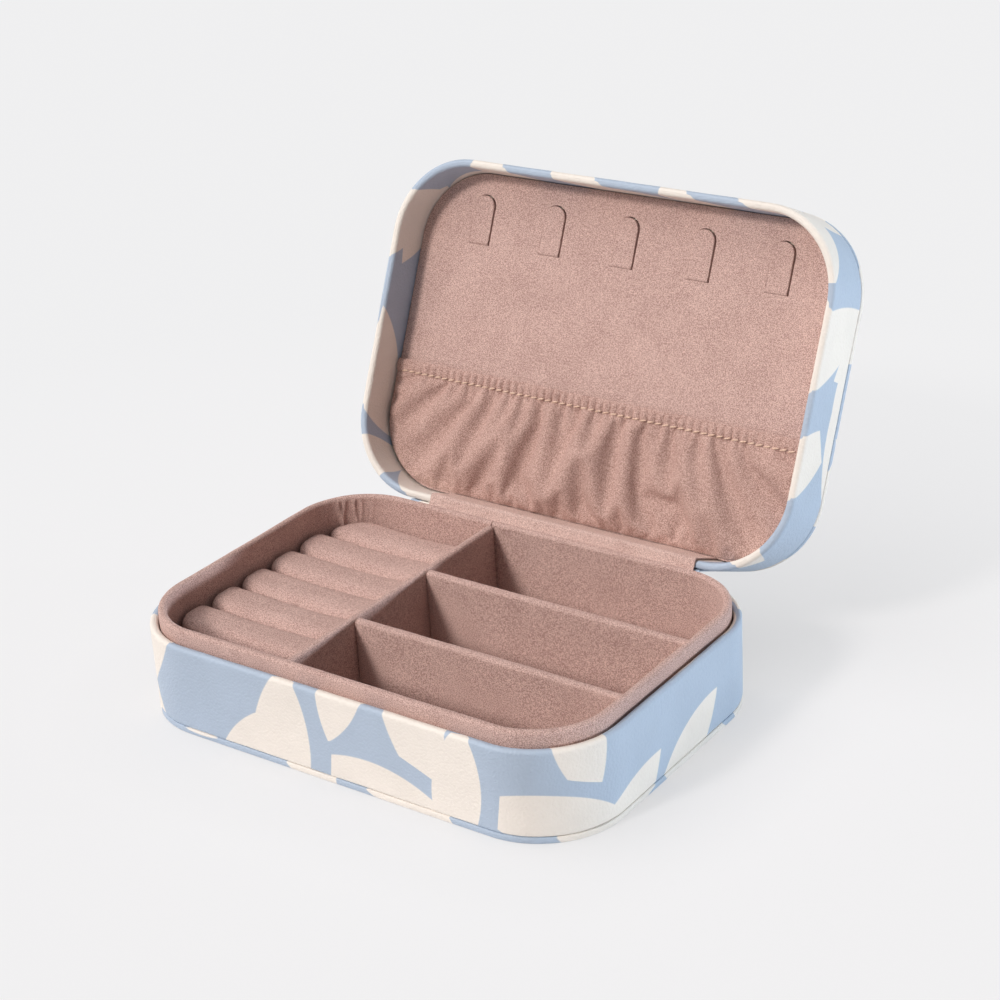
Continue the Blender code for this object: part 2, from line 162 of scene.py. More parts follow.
def copy_of(piece):
    """A copy of a piece, with its own mesh."""
    activate(piece)
    bpy.ops.object.duplicate()
    return bpy.context.object


# %% Helpers for shaping


def extrude(x, y, z):
    """Extrude what is selected."""
    bpy.ops.mesh.extrude_region_move(TRANSFORM_OT_translate={"value": (x, y, z)})


def bevel(width, segments, affect="EDGES", limit=False):
    """Bevel what is selected, as wide as it is told to unless it is limited."""
    bpy.ops.mesh.bevel(offset=width, segments=segments, affect=affect, clamp_overlap=limit)


def divide(piece, cuts, test):
    """Divide the edges that pass a test."""
    pick(piece, "EDGE", test)
    bpy.ops.mesh.subdivide(number_cuts=cuts)


def face_outwards():
    """Select the whole mesh in edit mode and turn its faces outwards."""
    bpy.ops.mesh.select_all(action="SELECT")
    bpy.ops.mesh.normals_make_consistent(inside=False)


def modify(piece, kind, **settings):
    """Add a modifier with its settings and apply it."""
    activate(piece)
    bpy.ops.object.modifier_add(type=kind)
    modifier = piece.modifiers[-1]
    for name, value in settings.items():
        setattr(modifier, name, value)
    bpy.ops.object.modifier_apply(modifier=modifier.name)


# %% Helpers for points and edges


def read_points(piece):
    """The vertices of a piece as an array with a row for each."""
    activate(piece)
    points = np.empty(3 * len(piece.data.vertices))
    piece.data.vertices.foreach_get("co", points)
    return points.reshape(-1, 3)


def write_points(piece, points):
    """Move the vertices of a piece to new places."""
    piece.data.vertices.foreach_set("co", points.ravel())
    piece.data.update()


def ends(piece, edge):
    """The two end points of an edge."""
    return [piece.data.vertices[k].co for k in edge.vertices]


def span(piece, edge):
    """The vector from one end of an edge to the other."""
    first, last = ends(piece, edge)
    return last - first


# %% [markdown]
# ## Nodes and colours
#
# Every material is a small node tree. One function adds a node with its settings and links, and one
# turns an sRGB hex colour, as a paint chart gives it, into the linear colour that Blender expects.
# A material's last step feeds its Principled shader, with numbers and with the nodes made before.

# %% Helpers for materials


def linear(code):
    """Linear RGBA of an sRGB hex colour."""
    channels = [int(code[k : k + 2], 16) / 255 for k in (1, 3, 5)]
    return (*[c / 12.92 if c <= 0.04045 else ((c + 0.055) / 1.055) ** 2.4 for c in channels], 1.0)


def feed(tree, node, inputs):
    """Feed a node's inputs. Each takes a value, a socket, or a node, whose first output it then uses."""
    for name, value in inputs.items():
        if isinstance(value, bpy.types.Node):
            value = value.outputs[0]
        if isinstance(value, bpy.types.NodeSocket):
            tree.links.new(value, node.inputs[name])
        else:
            node.inputs[name].default_value = value


def add(tree, kind, inputs=None, **settings):
    """Add a node with its settings and feed its inputs."""
    made = tree.nodes.new(kind)
    for name, value in settings.items():
        setattr(made, name, value)
    feed(tree, made, inputs or {})
    return made


def new_material(name):
    """A Principled material; returns it, its tree and its shader."""
    made = bpy.data.materials.new(name)
    made.use_nodes = True
    return made, made.node_tree, made.node_tree.nodes["Principled BSDF"]


# %% [markdown]
# ## Microsuede
#
# Microsuede is a knitted polyester whose surface is sanded into a short nap. It has no gloss, it
# brightens at grazing angles, and its fibre clumps give it a fine mottle. Noise at the clump size makes
# the mottle and the bump, slower noise shows where a hand has brushed it, and sheen gives the bright edges.
# The nap lies differently on each piece and catches more or less light, so there are three tones of it:
# the plain one, a lighter one that is painted light and a darker one that is painted shade.

# %% Make the microsuede
SUEDE_CLUMP = 0.3 * MM  # real clumps are about 0.2 mm, too fine to show
SUEDE_NAP = 0.12 * MM  # how far the clumps stand up
MOTTLE_LOW, MOTTLE_HIGH = 0.37, 0.63  # noise keeps near 0.5, so this much of it makes the full range
SUEDE_BRUSHED = 11.0 * MM  # the size of a brushed place
BRUSHED_SHIFT = 0.08  # how much lighter or darker it is
NOISE_LOW, NOISE_HIGH = 0.3, 0.7  # the range that slow noise keeps to
COLOUR_A, COLOUR_B = 6, 7  # the Mix node's two colour inputs
MIXED_COLOUR = 2  # and its colour output


def microsuede(name, light, dark):
    """Matt napped cloth between two colours."""
    made, tree, shader = new_material(name)
    place = add(tree, "ShaderNodeTexCoord").outputs["Object"]
    clump = {"Vector": place, "Scale": 1 / SUEDE_CLUMP, "Detail": 2.0, "Roughness": 0.6}
    nap = add(tree, "ShaderNodeTexNoise", clump)
    swept = {"Vector": place, "Scale": 1 / SUEDE_BRUSHED, "Detail": 3.0, "Roughness": 0.55}
    brushed = add(tree, "ShaderNodeTexNoise", swept)
    mottle = add(tree, "ShaderNodeMapRange", {0: nap, 1: MOTTLE_LOW, 2: MOTTLE_HIGH})
    aside = {0: brushed, 1: NOISE_LOW, 2: NOISE_HIGH, 3: -BRUSHED_SHIFT, 4: BRUSHED_SHIFT}
    shift = add(tree, "ShaderNodeMapRange", aside)
    tone = add(tree, "ShaderNodeMath", {0: mottle, 1: shift}, operation="ADD", use_clamp=True)
    mixed = {0: tone, COLOUR_A: linear(dark), COLOUR_B: linear(light)}
    colour = add(tree, "ShaderNodeMix", mixed, data_type="RGBA").outputs[MIXED_COLOUR]
    bump = add(tree, "ShaderNodeBump", {"Height": nap, "Strength": 0.7, "Distance": SUEDE_NAP})
    sheen = {"Sheen Weight": 0.3, "Sheen Roughness": 0.45, "Sheen Tint": linear("#e8cfc4")}
    matt = {"Roughness": 0.95, "Specular IOR Level": 0.15}
    feed(tree, shader, {"Base Color": colour, "Normal": bump, **matt, **sheen})
    return made


suede = microsuede("microsuede_rose_taupe", "#dfc1b8", "#9f8079")
# painted light and painted shade: a lighter and a darker copy of the same microsuede, for how its nap
# catches the light
painted_light_suede = microsuede("microsuede_painted_light", "#e6cbc2", "#ac8c84")
painted_shade_suede = microsuede("microsuede_painted_shade", "#d8b8ae", "#937269")
print("microsuede:", suede.name, painted_light_suede.name, painted_shade_suede.name)

# %% [markdown]
# ## Printed faux leather
#
# The cover is polyurethane film on a knit backing, printed in two colours and embossed with a fine
# pebble grain. The print is a plain pattern of large leaves in two layers that lie over each
# other. A leaf is the space that two circles share. Voronoi cells give each leaf its own
# place, and a random number turns it. The pattern runs on the piece's own UV map, laid out in metres
# round the case, so that it follows the skin over the rim as real film does.

# %% Draw the leaves
LEAF_CELLS = (52.0 * MM, 40.0 * MM)  # from one leaf to the next, in each layer
LEAF_LENGTH, LEAF_WIDTH = 0.58, 0.21  # half of a leaf, in cells
LEAF_BLUR = 0.004  # how soft its printed edge is, in cells


def leaf_layer(tree, place, cell):
    """How much of one layer of leaves covers a point, 0 to 1."""
    scaled = add(tree, "ShaderNodeVectorMath", {0: place, "Scale": 1 / cell}, operation="SCALE")
    cells = {"Vector": scaled, "Scale": 1.0, "Randomness": 0.6}
    voronoi = add(tree, "ShaderNodeTexVoronoi", cells, voronoi_dimensions="2D")
    from_middle = {0: scaled, 1: voronoi.outputs["Position"]}
    local = add(tree, "ShaderNodeVectorMath", from_middle, operation="SUBTRACT")
    chance = add(tree, "ShaderNodeSeparateColor", {0: voronoi.outputs["Color"]})
    angle = add(tree, "ShaderNodeMath", {0: chance, 1: math.pi}, operation="MULTIPLY")
    turned = add(tree, "ShaderNodeVectorRotate", {"Vector": local, "Angle": angle}, rotation_type="Z_AXIS")
    radius = (LEAF_LENGTH**2 + LEAF_WIDTH**2) / (2 * LEAF_WIDTH)
    reach = []
    for side in (-1, 1):
        centre = {0: turned, 1: (0, side * (radius - LEAF_WIDTH), 0)}
        reach.append(add(tree, "ShaderNodeVectorMath", centre, operation="DISTANCE").outputs["Value"])
    further = add(tree, "ShaderNodeMath", {0: reach[0], 1: reach[1]}, operation="MAXIMUM")
    return add(tree, "ShaderNodeMapRange", {0: further, 1: radius + LEAF_BLUR, 2: radius - LEAF_BLUR})


def leaf_print(tree, place):
    """Where a leaf of either layer lies."""
    one, other = [leaf_layer(tree, place, cell) for cell in LEAF_CELLS]
    return add(tree, "ShaderNodeMath", {0: one, 1: other}, operation="MAXIMUM")


# %% Make the printed faux leather
PRINT_MAP = "print"
PRINT_STARTS = {"base": 0, "bottom": 0.4, "lid": 0.7, "top": 1.3, "spine": 1.9}  # m; where each is cut
PEBBLE = 0.9 * MM
PEBBLE_TOP = 0.8  # the highest value that the pebbles' pattern reaches
PORE = 0.35 * MM
GRAIN_DEPTH = 0.11 * MM
ROUGH_LOW, ROUGH_HIGH = 0.42, 0.58
WORN_PATCH = 16 * MM
WORN_SHIFT = 0.03  # how much lighter or darker a worn patch is


def printed_leather(name, ground, motif):
    """Grained film with the leaf print."""
    made, tree, shader = new_material(name)
    place = add(tree, "ShaderNodeUVMap", uv_map=PRINT_MAP)
    leaves = leaf_print(tree, place)
    worn = add(tree, "ShaderNodeTexNoise", {"Vector": place, "Scale": 1 / WORN_PATCH, "Detail": 3.0})
    plain = {0: leaves, COLOUR_A: linear(ground), COLOUR_B: linear(motif)}
    inked = add(tree, "ShaderNodeMix", plain, data_type="RGBA").outputs[MIXED_COLOUR]
    patchy = {0: worn, 1: NOISE_LOW, 2: NOISE_HIGH, 3: 1 - WORN_SHIFT, 4: 1 + WORN_SHIFT}
    light = add(tree, "ShaderNodeMapRange", patchy)
    shade = add(tree, "ShaderNodeHueSaturation", {"Value": light, "Color": inked})
    pebbles = {"Vector": place, "Scale": 1 / PEBBLE, "Smoothness": 0.6}
    grain = add(tree, "ShaderNodeTexVoronoi", pebbles, voronoi_dimensions="2D", feature="SMOOTH_F1")
    pores = add(tree, "ShaderNodeTexNoise", {"Vector": place, "Scale": 1 / PORE})
    height = add(tree, "ShaderNodeMath", {0: grain, 1: -1.0, 2: pores}, operation="MULTIPLY_ADD")
    bump = add(tree, "ShaderNodeBump", {"Height": height, "Strength": 1.0, "Distance": GRAIN_DEPTH})
    rough = add(tree, "ShaderNodeMapRange", {0: grain, 2: PEBBLE_TOP, 3: ROUGH_LOW, 4: ROUGH_HIGH})
    film = {"IOR": 1.5, "Specular IOR Level": 0.4, "Roughness": rough}
    feed(tree, shader, {"Base Color": shade, "Normal": bump, **film})
    return made


leather = printed_leather("printed_faux_leather", "#adbdd0", "#ece6de")
print("leather:", leather.name, "with", len(leather.node_tree.nodes), "nodes")

# %% [markdown]
# ## Stock that stays inside
#
# Greyboard, polyether foam, magnet steel and woven elastic are hidden in the finished case. They still
# get their own finish, because someone may take the case apart.

# %% Make the hidden stock
SPECK_LOW, SPECK_HIGH = 0.35, 0.65


def plain_stock(name, light, dark, size, roughness, depth, metallic=0.0, stretch=(1, 1, 1)):
    """Speckled stock: noise of one real size between two colours."""
    made, tree, shader = new_material(name)
    place = add(tree, "ShaderNodeTexCoord").outputs["Object"]
    laid = add(tree, "ShaderNodeMapping", {"Vector": place, "Scale": stretch})
    speck = add(tree, "ShaderNodeTexNoise", {"Vector": laid, "Scale": 1 / size, "Detail": 4.0})
    tone = add(tree, "ShaderNodeMapRange", {0: speck, 1: SPECK_LOW, 2: SPECK_HIGH})
    mixed = {0: tone, COLOUR_A: linear(dark), COLOUR_B: linear(light)}
    colour = add(tree, "ShaderNodeMix", mixed, data_type="RGBA").outputs[MIXED_COLOUR]
    bump = add(tree, "ShaderNodeBump", {"Height": speck, "Strength": 0.5, "Distance": depth})
    finish = {"Roughness": roughness, "Metallic": metallic}
    feed(tree, shader, {"Base Color": colour, "Normal": bump, **finish})
    return made


def finish_with(piece, finish):
    """Give a piece one material."""
    piece.data.materials.clear()
    piece.data.materials.append(finish)


greyboard = plain_stock("greyboard", "#a39d92", "#8b857b", size=1.2 * MM, roughness=0.9, depth=0.05 * MM)
foam = plain_stock("polyether_foam", "#efe9dc", "#cfc7b4", size=0.8 * MM, roughness=0.95, depth=0.2 * MM)
magnet = plain_stock(
    "nickel_plated_magnet", "#c9c9ca", "#b9b9bb",
    size=0.5 * MM, roughness=0.3, depth=0.01 * MM, metallic=1.0,
)
elastic = plain_stock(
    "woven_elastic", "#e6dccb", "#c3b6a0",
    size=0.7 * MM, roughness=0.8, depth=0.1 * MM, stretch=(1, 8, 1),
)
thread = plain_stock(
    "polyester_thread", "#e8cfbb", "#c6a18a", size=0.3 * MM, roughness=0.6, depth=0.05 * MM
)

HIDDEN = {
    greyboard: ("board", "frame"),
    foam: ("pad",),
    magnet: ("magnet_left", "magnet_right"),
    elastic: ("elastic",),
}
for finish, words in HIDDEN.items():
    for name, node in nodes.items():
        if name.endswith(words):
            finish_with(node, finish)
            print(name, "->", finish.name)

# %% [markdown]
# ## The case's outline
#
# Everything is drawn from one rounded rectangle. A plane gets its corners rounded by a vertex
# bevel, and its straight sides are divided to match the corners. Three small formulas go with
# it: how deep inside the outline a point lies, which way is straight out of it, and how far round
# it is from the middle of the back. The last is where the print's U coordinate comes from.

# %% Draw the outline
CORNER_SEGMENTS = 22
SIDE_CUTS = 47


def outline_face(name, inset, height, segments=CORNER_SEGMENTS):
    """A flat face in the case's outline, moved inwards; it ends selected in edit mode."""
    piece = start_from("plane", name, (LENGTH - 2 * inset, DEPTH - 2 * inset, 1), (0, 0, height))
    pick(piece, "VERT", lambda vertex: True)
    radius = CORNER_RADIUS - inset
    bevel(radius, segments, "VERTICES")
    straight = 2 * radius / segments
    divide(piece, SIDE_CUTS, lambda edge: span(piece, edge).length > straight)
    bpy.ops.mesh.select_all(action="SELECT")
    return piece


# %% Measure from the outline
STRAIGHT = np.array([LENGTH / 2, DEPTH / 2]) - CORNER_RADIUS  # half of the two straight sides


def depth_inside(points):
    """How deep inside the case's outline each point lies, seen from above."""
    past = np.abs(points[:, :2]) - STRAIGHT
    corner = np.linalg.norm(np.maximum(past, 0), axis=1)
    return CORNER_RADIUS - corner - np.minimum(past.max(axis=1), 0)


def outward(points):
    """The direction straight out of the outline at each point, seen from above."""
    out = np.sign(points[:, :2]) * np.maximum(np.abs(points[:, :2]) - STRAIGHT, 0)
    return out / np.maximum(np.linalg.norm(out, axis=1), 1e-9)[:, None]


def way_round(points):
    """How far round the outline each point is, clockwise from the middle of the back."""
    half_x, half_y = STRAIGHT
    x, y = np.abs(points[:, 0]), np.abs(points[:, 1])
    turn = np.arctan2(np.maximum(x - half_x, 0), np.maximum(y - half_y, 1e-9))
    along = np.minimum(x, half_x) + CORNER_RADIUS * turn + half_y - np.minimum(y, half_y)
    quarter = half_x + CORNER_RADIUS * math.pi / 2 + half_y
    right, back = points[:, 0] >= 0, points[:, 1] >= 0
    return np.select(
        [right & back, right & ~back, ~right & ~back], [along, 2 * quarter - along, 2 * quarter + along],
        4 * quarter - along,
    )


ROUND_THE_CASE = 2 * (LENGTH + DEPTH) - (8 - 2 * math.pi) * CORNER_RADIUS
print("round the case, mm:", round(ROUND_THE_CASE / MM, 1))

# %% [markdown]
# ## Wrapped walls
#
# A wall's skin goes up the outside of the board, turns over its rim and comes down the inside. It
# could be swept along the outline. Here it is made as by hand: the outline face is
# extruded to the rim, inset by the wall's thickness and extruded back. Bevelling the two rim edges
# makes the soft turn of the skin. A slow noise then takes the machine-made flatness off, and
# Solidify gives the skin its thickness, inwards.

# %% Fold a wall's skin


def folded_wall(name, inset, thickness, open_end, rim, fold, rows, segments=CORNER_SEGMENTS):
    """The skin of a wall, as a sheet from its open end over the rim and back."""
    piece = outline_face(name, inset, open_end, segments)
    extrude(0, 0, rim - open_end)
    bpy.ops.mesh.inset(thickness=thickness)
    extrude(0, 0, open_end - rim)
    pick(piece, "FACE", lambda face: len(face.vertices) > 4)
    bpy.ops.mesh.delete(type="ONLY_FACE")
    divide(piece, rows, lambda edge: abs(span(piece, edge).z) > fold)
    depths = depth_inside(read_points(piece))

    def on_rim(edge):
        a, b = edge.vertices
        level = all(abs(end.z - rim) < SAME for end in ends(piece, edge))
        return level and abs(depths[a] - depths[b]) < thickness / 2

    pick(piece, "EDGE", on_rim)
    bevel(fold, 6)
    face_outwards()
    return piece


# %% Turn its foot in
FOOT_TURN = 0.6 * MM  # how far a skin turns in at a seam


def turn_foot_in(piece, open_end, rim):
    """Round the outer skin in at a wall's open end, so that its seam with the panel is a groove."""

    def foot_edges(edge):
        heights = [abs(end.z - open_end) for end in ends(piece, edge)]
        return min(heights) < SAME < max(heights) and max(depths[k] for k in edge.vertices) < WALL / 2

    for cuts in (1, 3):
        depths = depth_inside(read_points(piece))
        divide(piece, cuts, foot_edges)
        points = read_points(piece)
        height = np.abs(points[:, 2] - open_end)
        if cuts == 1:
            halfway = (height > SAME) & (height < 2 * FOOT_TURN) & (depth_inside(points) < WALL / 2)
            points[halfway, 2] = open_end + math.copysign(FOOT_TURN, rim - open_end)
            write_points(piece, points)
    turned = (height < FOOT_TURN) & (depth_inside(points) < WALL / 2)
    drop = np.clip(FOOT_TURN - height, 0, FOOT_TURN)
    inwards = (FOOT_TURN - np.sqrt(FOOT_TURN**2 - drop**2)) * turned
    points[:, :2] -= outward(points) * inwards[:, None]
    write_points(piece, points)


# %% Give it its thickness
SMOOTH_BELOW = math.radians(50)  # a sharper edge than this stays sharp
wobble = bpy.data.textures.new("hand_wrapped", "CLOUDS")
wobble.noise_scale = 16 * MM


def skin_of(piece, uneven):
    """Make a sheet uneven, as hand-wrapped skin is, and give it its thickness inwards."""
    modify(piece, "DISPLACE", texture=wobble, strength=uneven, mid_level=0.5)
    modify(piece, "SOLIDIFY", thickness=SKIN, offset=-1, use_even_offset=True)
    activate(piece)
    bpy.ops.object.shade_smooth_by_angle(angle=SMOOTH_BELOW)
    return piece


# %% [markdown]
# ## The print map
#
# On a wall, U is the way round the case and V runs up the outside, over the rim and down the inside. On a
# panel the film is flat, and its turned edge carries on outwards. One map serves all the covers.

# %% Lay out the print


def add_print_map(piece, u, v, wrap):
    """Store a print map from a U and a V for each vertex; U joins up with itself after wrap."""
    mesh = piece.data
    corner = np.empty(len(mesh.loops), dtype=int)
    mesh.loops.foreach_get("vertex_index", corner)
    layer = mesh.uv_layers.get(PRINT_MAP) or mesh.uv_layers.new(name=PRINT_MAP)
    laid = np.column_stack([u[corner], v[corner]])
    for face in mesh.polygons:
        own = slice(face.loop_start, face.loop_start + face.loop_total)
        if wrap and np.ptp(laid[own, 0]) > wrap / 2:
            laid[own, 0] += np.where(laid[own, 0] < laid[own, 0].min() + wrap / 2, wrap, 0.0)
    layer.data.foreach_set("uv", laid.ravel())


def map_wall(piece, rim, start):
    """Lay the print round a wrapped wall."""
    points = read_points(piece)
    depth = depth_inside(points)
    below = np.abs(points[:, 2] - rim)
    over = np.where(depth > WALL / 2, np.clip(depth, 0, WALL) + below, -below)
    add_print_map(piece, start + way_round(points), over, ROUND_THE_CASE)


def map_panel(piece, face, start):
    """Lay the print flat on a panel and out over its edge."""
    points = read_points(piece)
    flat = points[:, :2] + outward(points) * np.abs(points[:, 2:] - face)
    add_print_map(piece, start + flat[:, 0], flat[:, 1], 0)


# %% Put a piece in place


def hand_in(piece, finish, slot, body, *replaced):
    """Give a piece its material, stand it in for its CAD nodes and let it ride."""
    finish_with(piece, finish)
    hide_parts(*replaced)
    if body:
        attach(piece, body)
    triangles = sum(len(face.vertices) - 2 for face in piece.data.polygons)
    print(piece.name, "triangles:", triangles)


# %% [markdown]
# ## The base
#
# The outer wall's film is drawn tight over a board ring, and its lower edge is turned in and glued.
# The bottom is a separate wrapped panel, so a dark seam runs all round just above the table.

# %% Wrap the base wall
RIM_FOLD = 1.15 * MM  # the skin's turn over the board, a little softer than the board's own edge
WALL_UNEVEN = 0.22 * MM

base_wall = folded_wall(
    "base_wall_leather", inset=0, thickness=WALL, open_end=wall_low.z, rim=BASE_RIM, fold=RIM_FOLD, rows=11
)
turn_foot_in(base_wall, wall_low.z, BASE_RIM)
skin_of(base_wall, WALL_UNEVEN)
map_wall(base_wall, BASE_RIM, PRINT_STARTS["base"])
hand_in(base_wall, leather, "printed_leather", "base", "base_wall_wrap")

# %% Wrap the bottom panel
PANEL_LIP = 1.4 * MM
PANEL_RINGS, PANEL_RING = 8, 3.0 * MM  # rows of faces round the flat face, and the width of each


def panel_skin(name, face, edge, start):
    """The skin of a flat panel: its face, its edge and a lip turned over the far side."""
    piece = outline_face(name, 0, face)
    extrude(0, 0, edge - face)
    bpy.ops.mesh.inset(thickness=PANEL_LIP)
    bpy.ops.mesh.delete(type="ONLY_FACE")
    depths = depth_inside(read_points(piece))

    def on_outline(item):
        return abs(span(piece, item).z) < SAME and max(depths[k] for k in item.vertices) < PANEL_LIP / 2

    pick(piece, "EDGE", on_outline)
    bevel(FOOT_TURN, 4)
    face_outwards()
    pick(piece, "FACE", lambda item: len(item.vertices) > 4)
    for _ in range(PANEL_RINGS):
        bpy.ops.mesh.inset(thickness=PANEL_RING)
    skin_of(piece, uneven=0.15 * MM)
    points = read_points(piece)
    points[:, 2] = np.clip(points[:, 2], min(face, edge), max(face, edge))
    write_points(piece, points)
    map_panel(piece, face, start)
    return piece


bottom_low, bottom_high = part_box("base_bottom_wrap")
start = PRINT_STARTS["bottom"]
base_bottom = panel_skin("base_bottom_leather", face=bottom_low.z, edge=bottom_high.z, start=start)
hand_in(base_bottom, leather, "printed_leather", "base", "base_bottom_wrap")

# %% [markdown]
# ## The lid's cover
#
# The lid is the base's twin: the same folded wall, its rim facing the base's rim, and a wrapped panel
# on top. It is modelled shut and opened at the end.

# %% Wrap the lid


def open_with_lid(piece):
    """Turn a piece that was modelled shut to where the open lid is."""
    piece.matrix_world = OPEN
    settle(piece)


lid_wall_end = shut_box("lid_wall_wrap")[1].z
top_low, top_high = shut_box("lid_top_wrap")
lid_wall = folded_wall(
    "lid_wall_leather", inset=0, thickness=WALL, open_end=lid_wall_end, rim=LID_RIM, fold=RIM_FOLD, rows=8
)
turn_foot_in(lid_wall, lid_wall_end, LID_RIM)
skin_of(lid_wall, WALL_UNEVEN)
map_wall(lid_wall, LID_RIM, PRINT_STARTS["lid"])
lid_top = panel_skin("lid_top_leather", face=top_high.z, edge=top_low.z, start=PRINT_STARTS["top"])
for piece, node in ((lid_wall, "lid_wall_wrap"), (lid_top, "lid_top_wrap")):
    open_with_lid(piece)
    hand_in(piece, leather, "printed_leather", "lid", node)

# %% [markdown]
# ## The tray
#
# The collar is a second board ring inside the base, wrapped in microsuede, that stands above the rim and
# locates the lid. Cloth that is pulled round an inside corner has nowhere to go, so it creases there:
# the creases are narrow vertical ridges, strongest in the back left corner.

# %% Wrap the collar
COLLAR_WALL = 2.6 * MM
COLLAR_FOLD = 1.2 * MM
COLLAR_CORNER_SEGMENTS = 64

collar_low, collar_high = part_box("tray_collar_lining")
collar_inset = collar_low.x - wall_low.x
collar = folded_wall(
    "tray_collar_suede", inset=collar_inset, thickness=COLLAR_WALL, open_end=collar_low.z,
    rim=collar_high.z, fold=COLLAR_FOLD, rows=18, segments=COLLAR_CORNER_SEGMENTS,
)

# %% Crease its cloth in the corners
CREASES = {  # way round the case, mm: height of the crease, mm
    425: 0.25, 429.5: 0.55, 432.5: 0.70, 436.5: 0.75, 439.5: 0.55, 445: 0.35,
    57: 0.07, 62: 0.09, 67: 0.07, 205: 0.06, 211: 0.08, 312: 0.06, 318: 0.09, 323: 0.06,
}
CREASE_WIDTH = 0.55 * MM
CREASE_REACH = 14 * MM  # how far down a crease fades out
CREASE_SLOPE = 0.2  # the most that one leans, as rise over run
CREASE_WANDER, WANDER_STEP = 0.3 * MM, 1.7 * MM
RIM_CLEAR = 2 * MM  # the cloth is flat again so close to the rim


def crease(piece, rim, middle_depth):
    """Raise vertical creases on the inside of a wall, fading out from the rim down."""
    points = read_points(piece)
    round_it = way_round(points)
    above = points[:, 2] - rim
    inside = np.clip((depth_inside(points) - middle_depth) / SKIN, 0, 1)
    below = np.clip(-above / RIM_CLEAR, 0, 1) * np.exp(above / CREASE_REACH)
    ridges = np.zeros(len(points))
    for place, height in CREASES.items():
        wander = CREASE_WANDER * np.sin(points[:, 2] / WANDER_STEP + place)
        lean = CREASE_SLOPE * above * math.sin(place) + wander
        ridges += height * MM * np.exp(-(((round_it - place * MM + lean) / CREASE_WIDTH) ** 2))
    towards = -points[:, :2] / np.linalg.norm(points[:, :2], axis=1)[:, None]
    points[:, :2] += towards * (ridges * inside * below)[:, None]
    write_points(piece, points)


crease(collar, collar_high.z, collar_inset + COLLAR_WALL / 2)
skin_of(collar, uneven=0.3 * MM)

# %% Leave a slit where the collar's cloth meets itself, behind the long divider
SLIT = Vector((0.3, 2.0, 4.0)) * MM
inner_back = DEPTH / 2 - collar_inset - COLLAR_WALL
slit_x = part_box("long_divider_wrap")[1].x - MM
slit_place = (slit_x, inner_back + SLIT.y / 4, collar_high.z - SLIT.z / 4)
blade = start_from("cube", "slit_cutter", SLIT, slit_place)
modify(collar, "BOOLEAN", object=blade, operation="DIFFERENCE", solver="EXACT")
bpy.data.objects.remove(blade)
hand_in(collar, suede, "suede", "base", "tray_collar_lining")
finish_with(nodes["tray_floor"], suede)  # a flat covered board, so its CAD shape will do

# %% [markdown]
# ## The dividers
#
# Each divider is a strip of board in a folded sleeve of microsuede. A box without its bottom and ends
# is that sleeve: its two long top edges are bevelled and its sides divided, so that noise can
# make it as uneven as cloth over board.

# %% Cover the dividers
DIVIDER_FOLD = 1.3 * MM


def divider_skin(name, node):
    """A folded sleeve on the CAD divider's place."""
    low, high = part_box(node)
    piece = start_from("cube", name, high - low, (low + high) / 2)
    along = 0 if high.x - low.x > high.y - low.y else 1
    pick(piece, "FACE", lambda face: face.normal.z < -0.5 or abs(face.normal[along]) > 0.5)
    bpy.ops.mesh.delete(type="FACE")

    def on_top(edge):
        return min(end.z for end in ends(piece, edge)) > low.z + MM

    pick(piece, "EDGE", lambda edge: abs(span(piece, edge)[along]) > MM and on_top(edge))
    bevel(DIVIDER_FOLD, 6)
    cuts = round((high - low)[along] / (2 * MM))
    divide(piece, cuts, lambda edge: abs(span(piece, edge)[along]) > MM)
    divide(piece, 12, lambda edge: abs(span(piece, edge).z) > 2 * MM)
    skin_of(piece, uneven=0.35 * MM)
    hand_in(piece, suede, "suede", "base", node)


for side in ("long", "front", "rear"):
    divider_skin(f"{side}_divider_suede", f"{side}_divider_wrap")

# %% [markdown]
# ## The ring bars
#
# Each bar is a foam block under microsuede. The cloth is tight over the top and eases
# at the ends, so no two bars are quite alike. They could be bent from cylinders; here each is inflated
# with Blender's Cloth from a copy of its own CAD bar, slightly shrunk first, and its shoulders are
# then filled out, because the bars press on each other. Cloth behaves
# best at sizes near a metre, so the bar is simulated ten times as large. The swelling is capped, and
# the bar is held inside its own place.

# %% Inflate a padded piece
SIMULATED_SIZE = 10.0
BAR_VOXEL = 1.1 * MM
BAR_SHRINK = 0.35 * MM
BAR_PRESSURE = 4.0
BAR_CAP = 1.0 * MM  # as far as a point may move
BAR_FRAMES = 20


def swell(piece):
    """Remesh a piece, blow it up a little with Cloth and cap how far each point moved."""
    piece.data.transform(Matrix.Scale(SIMULATED_SIZE, 4))
    modify(piece, "REMESH", mode="VOXEL", voxel_size=BAR_VOXEL * SIMULATED_SIZE)
    modify(piece, "DISPLACE", strength=-BAR_SHRINK * SIMULATED_SIZE, mid_level=0.0)
    before = read_points(piece)
    bpy.ops.object.modifier_add(type="CLOTH")
    cloth = piece.modifiers[-1].settings
    cloth.use_pressure = True
    cloth.uniform_pressure_force = BAR_PRESSURE
    cloth.effector_weights.gravity = 0
    cloth.tension_stiffness = cloth.compression_stiffness = 12
    cloth.bending_stiffness = 0.3
    for frame_number in range(1, BAR_FRAMES + 1):
        bpy.context.scene.frame_set(frame_number)
    bpy.ops.object.modifier_apply(modifier=piece.modifiers[-1].name)
    bpy.context.scene.frame_set(1)
    moved = read_points(piece) - before
    far = np.linalg.norm(moved, axis=1)[:, None]
    kept = np.minimum(1, BAR_CAP * SIMULATED_SIZE / np.maximum(far, 1e-9))
    write_points(piece, before + moved * kept)
    print(piece.name, "moved up to, mm:", round(float(far.max()) / SIMULATED_SIZE / MM, 2))
    piece.data.transform(Matrix.Scale(1 / SIMULATED_SIZE, 4))


# %% Square its shoulders
BAR_FULLNESS = 3.0  # 2 keeps the round shoulders of the CAD bar, more squares them
BAR_END = 5.0 * MM


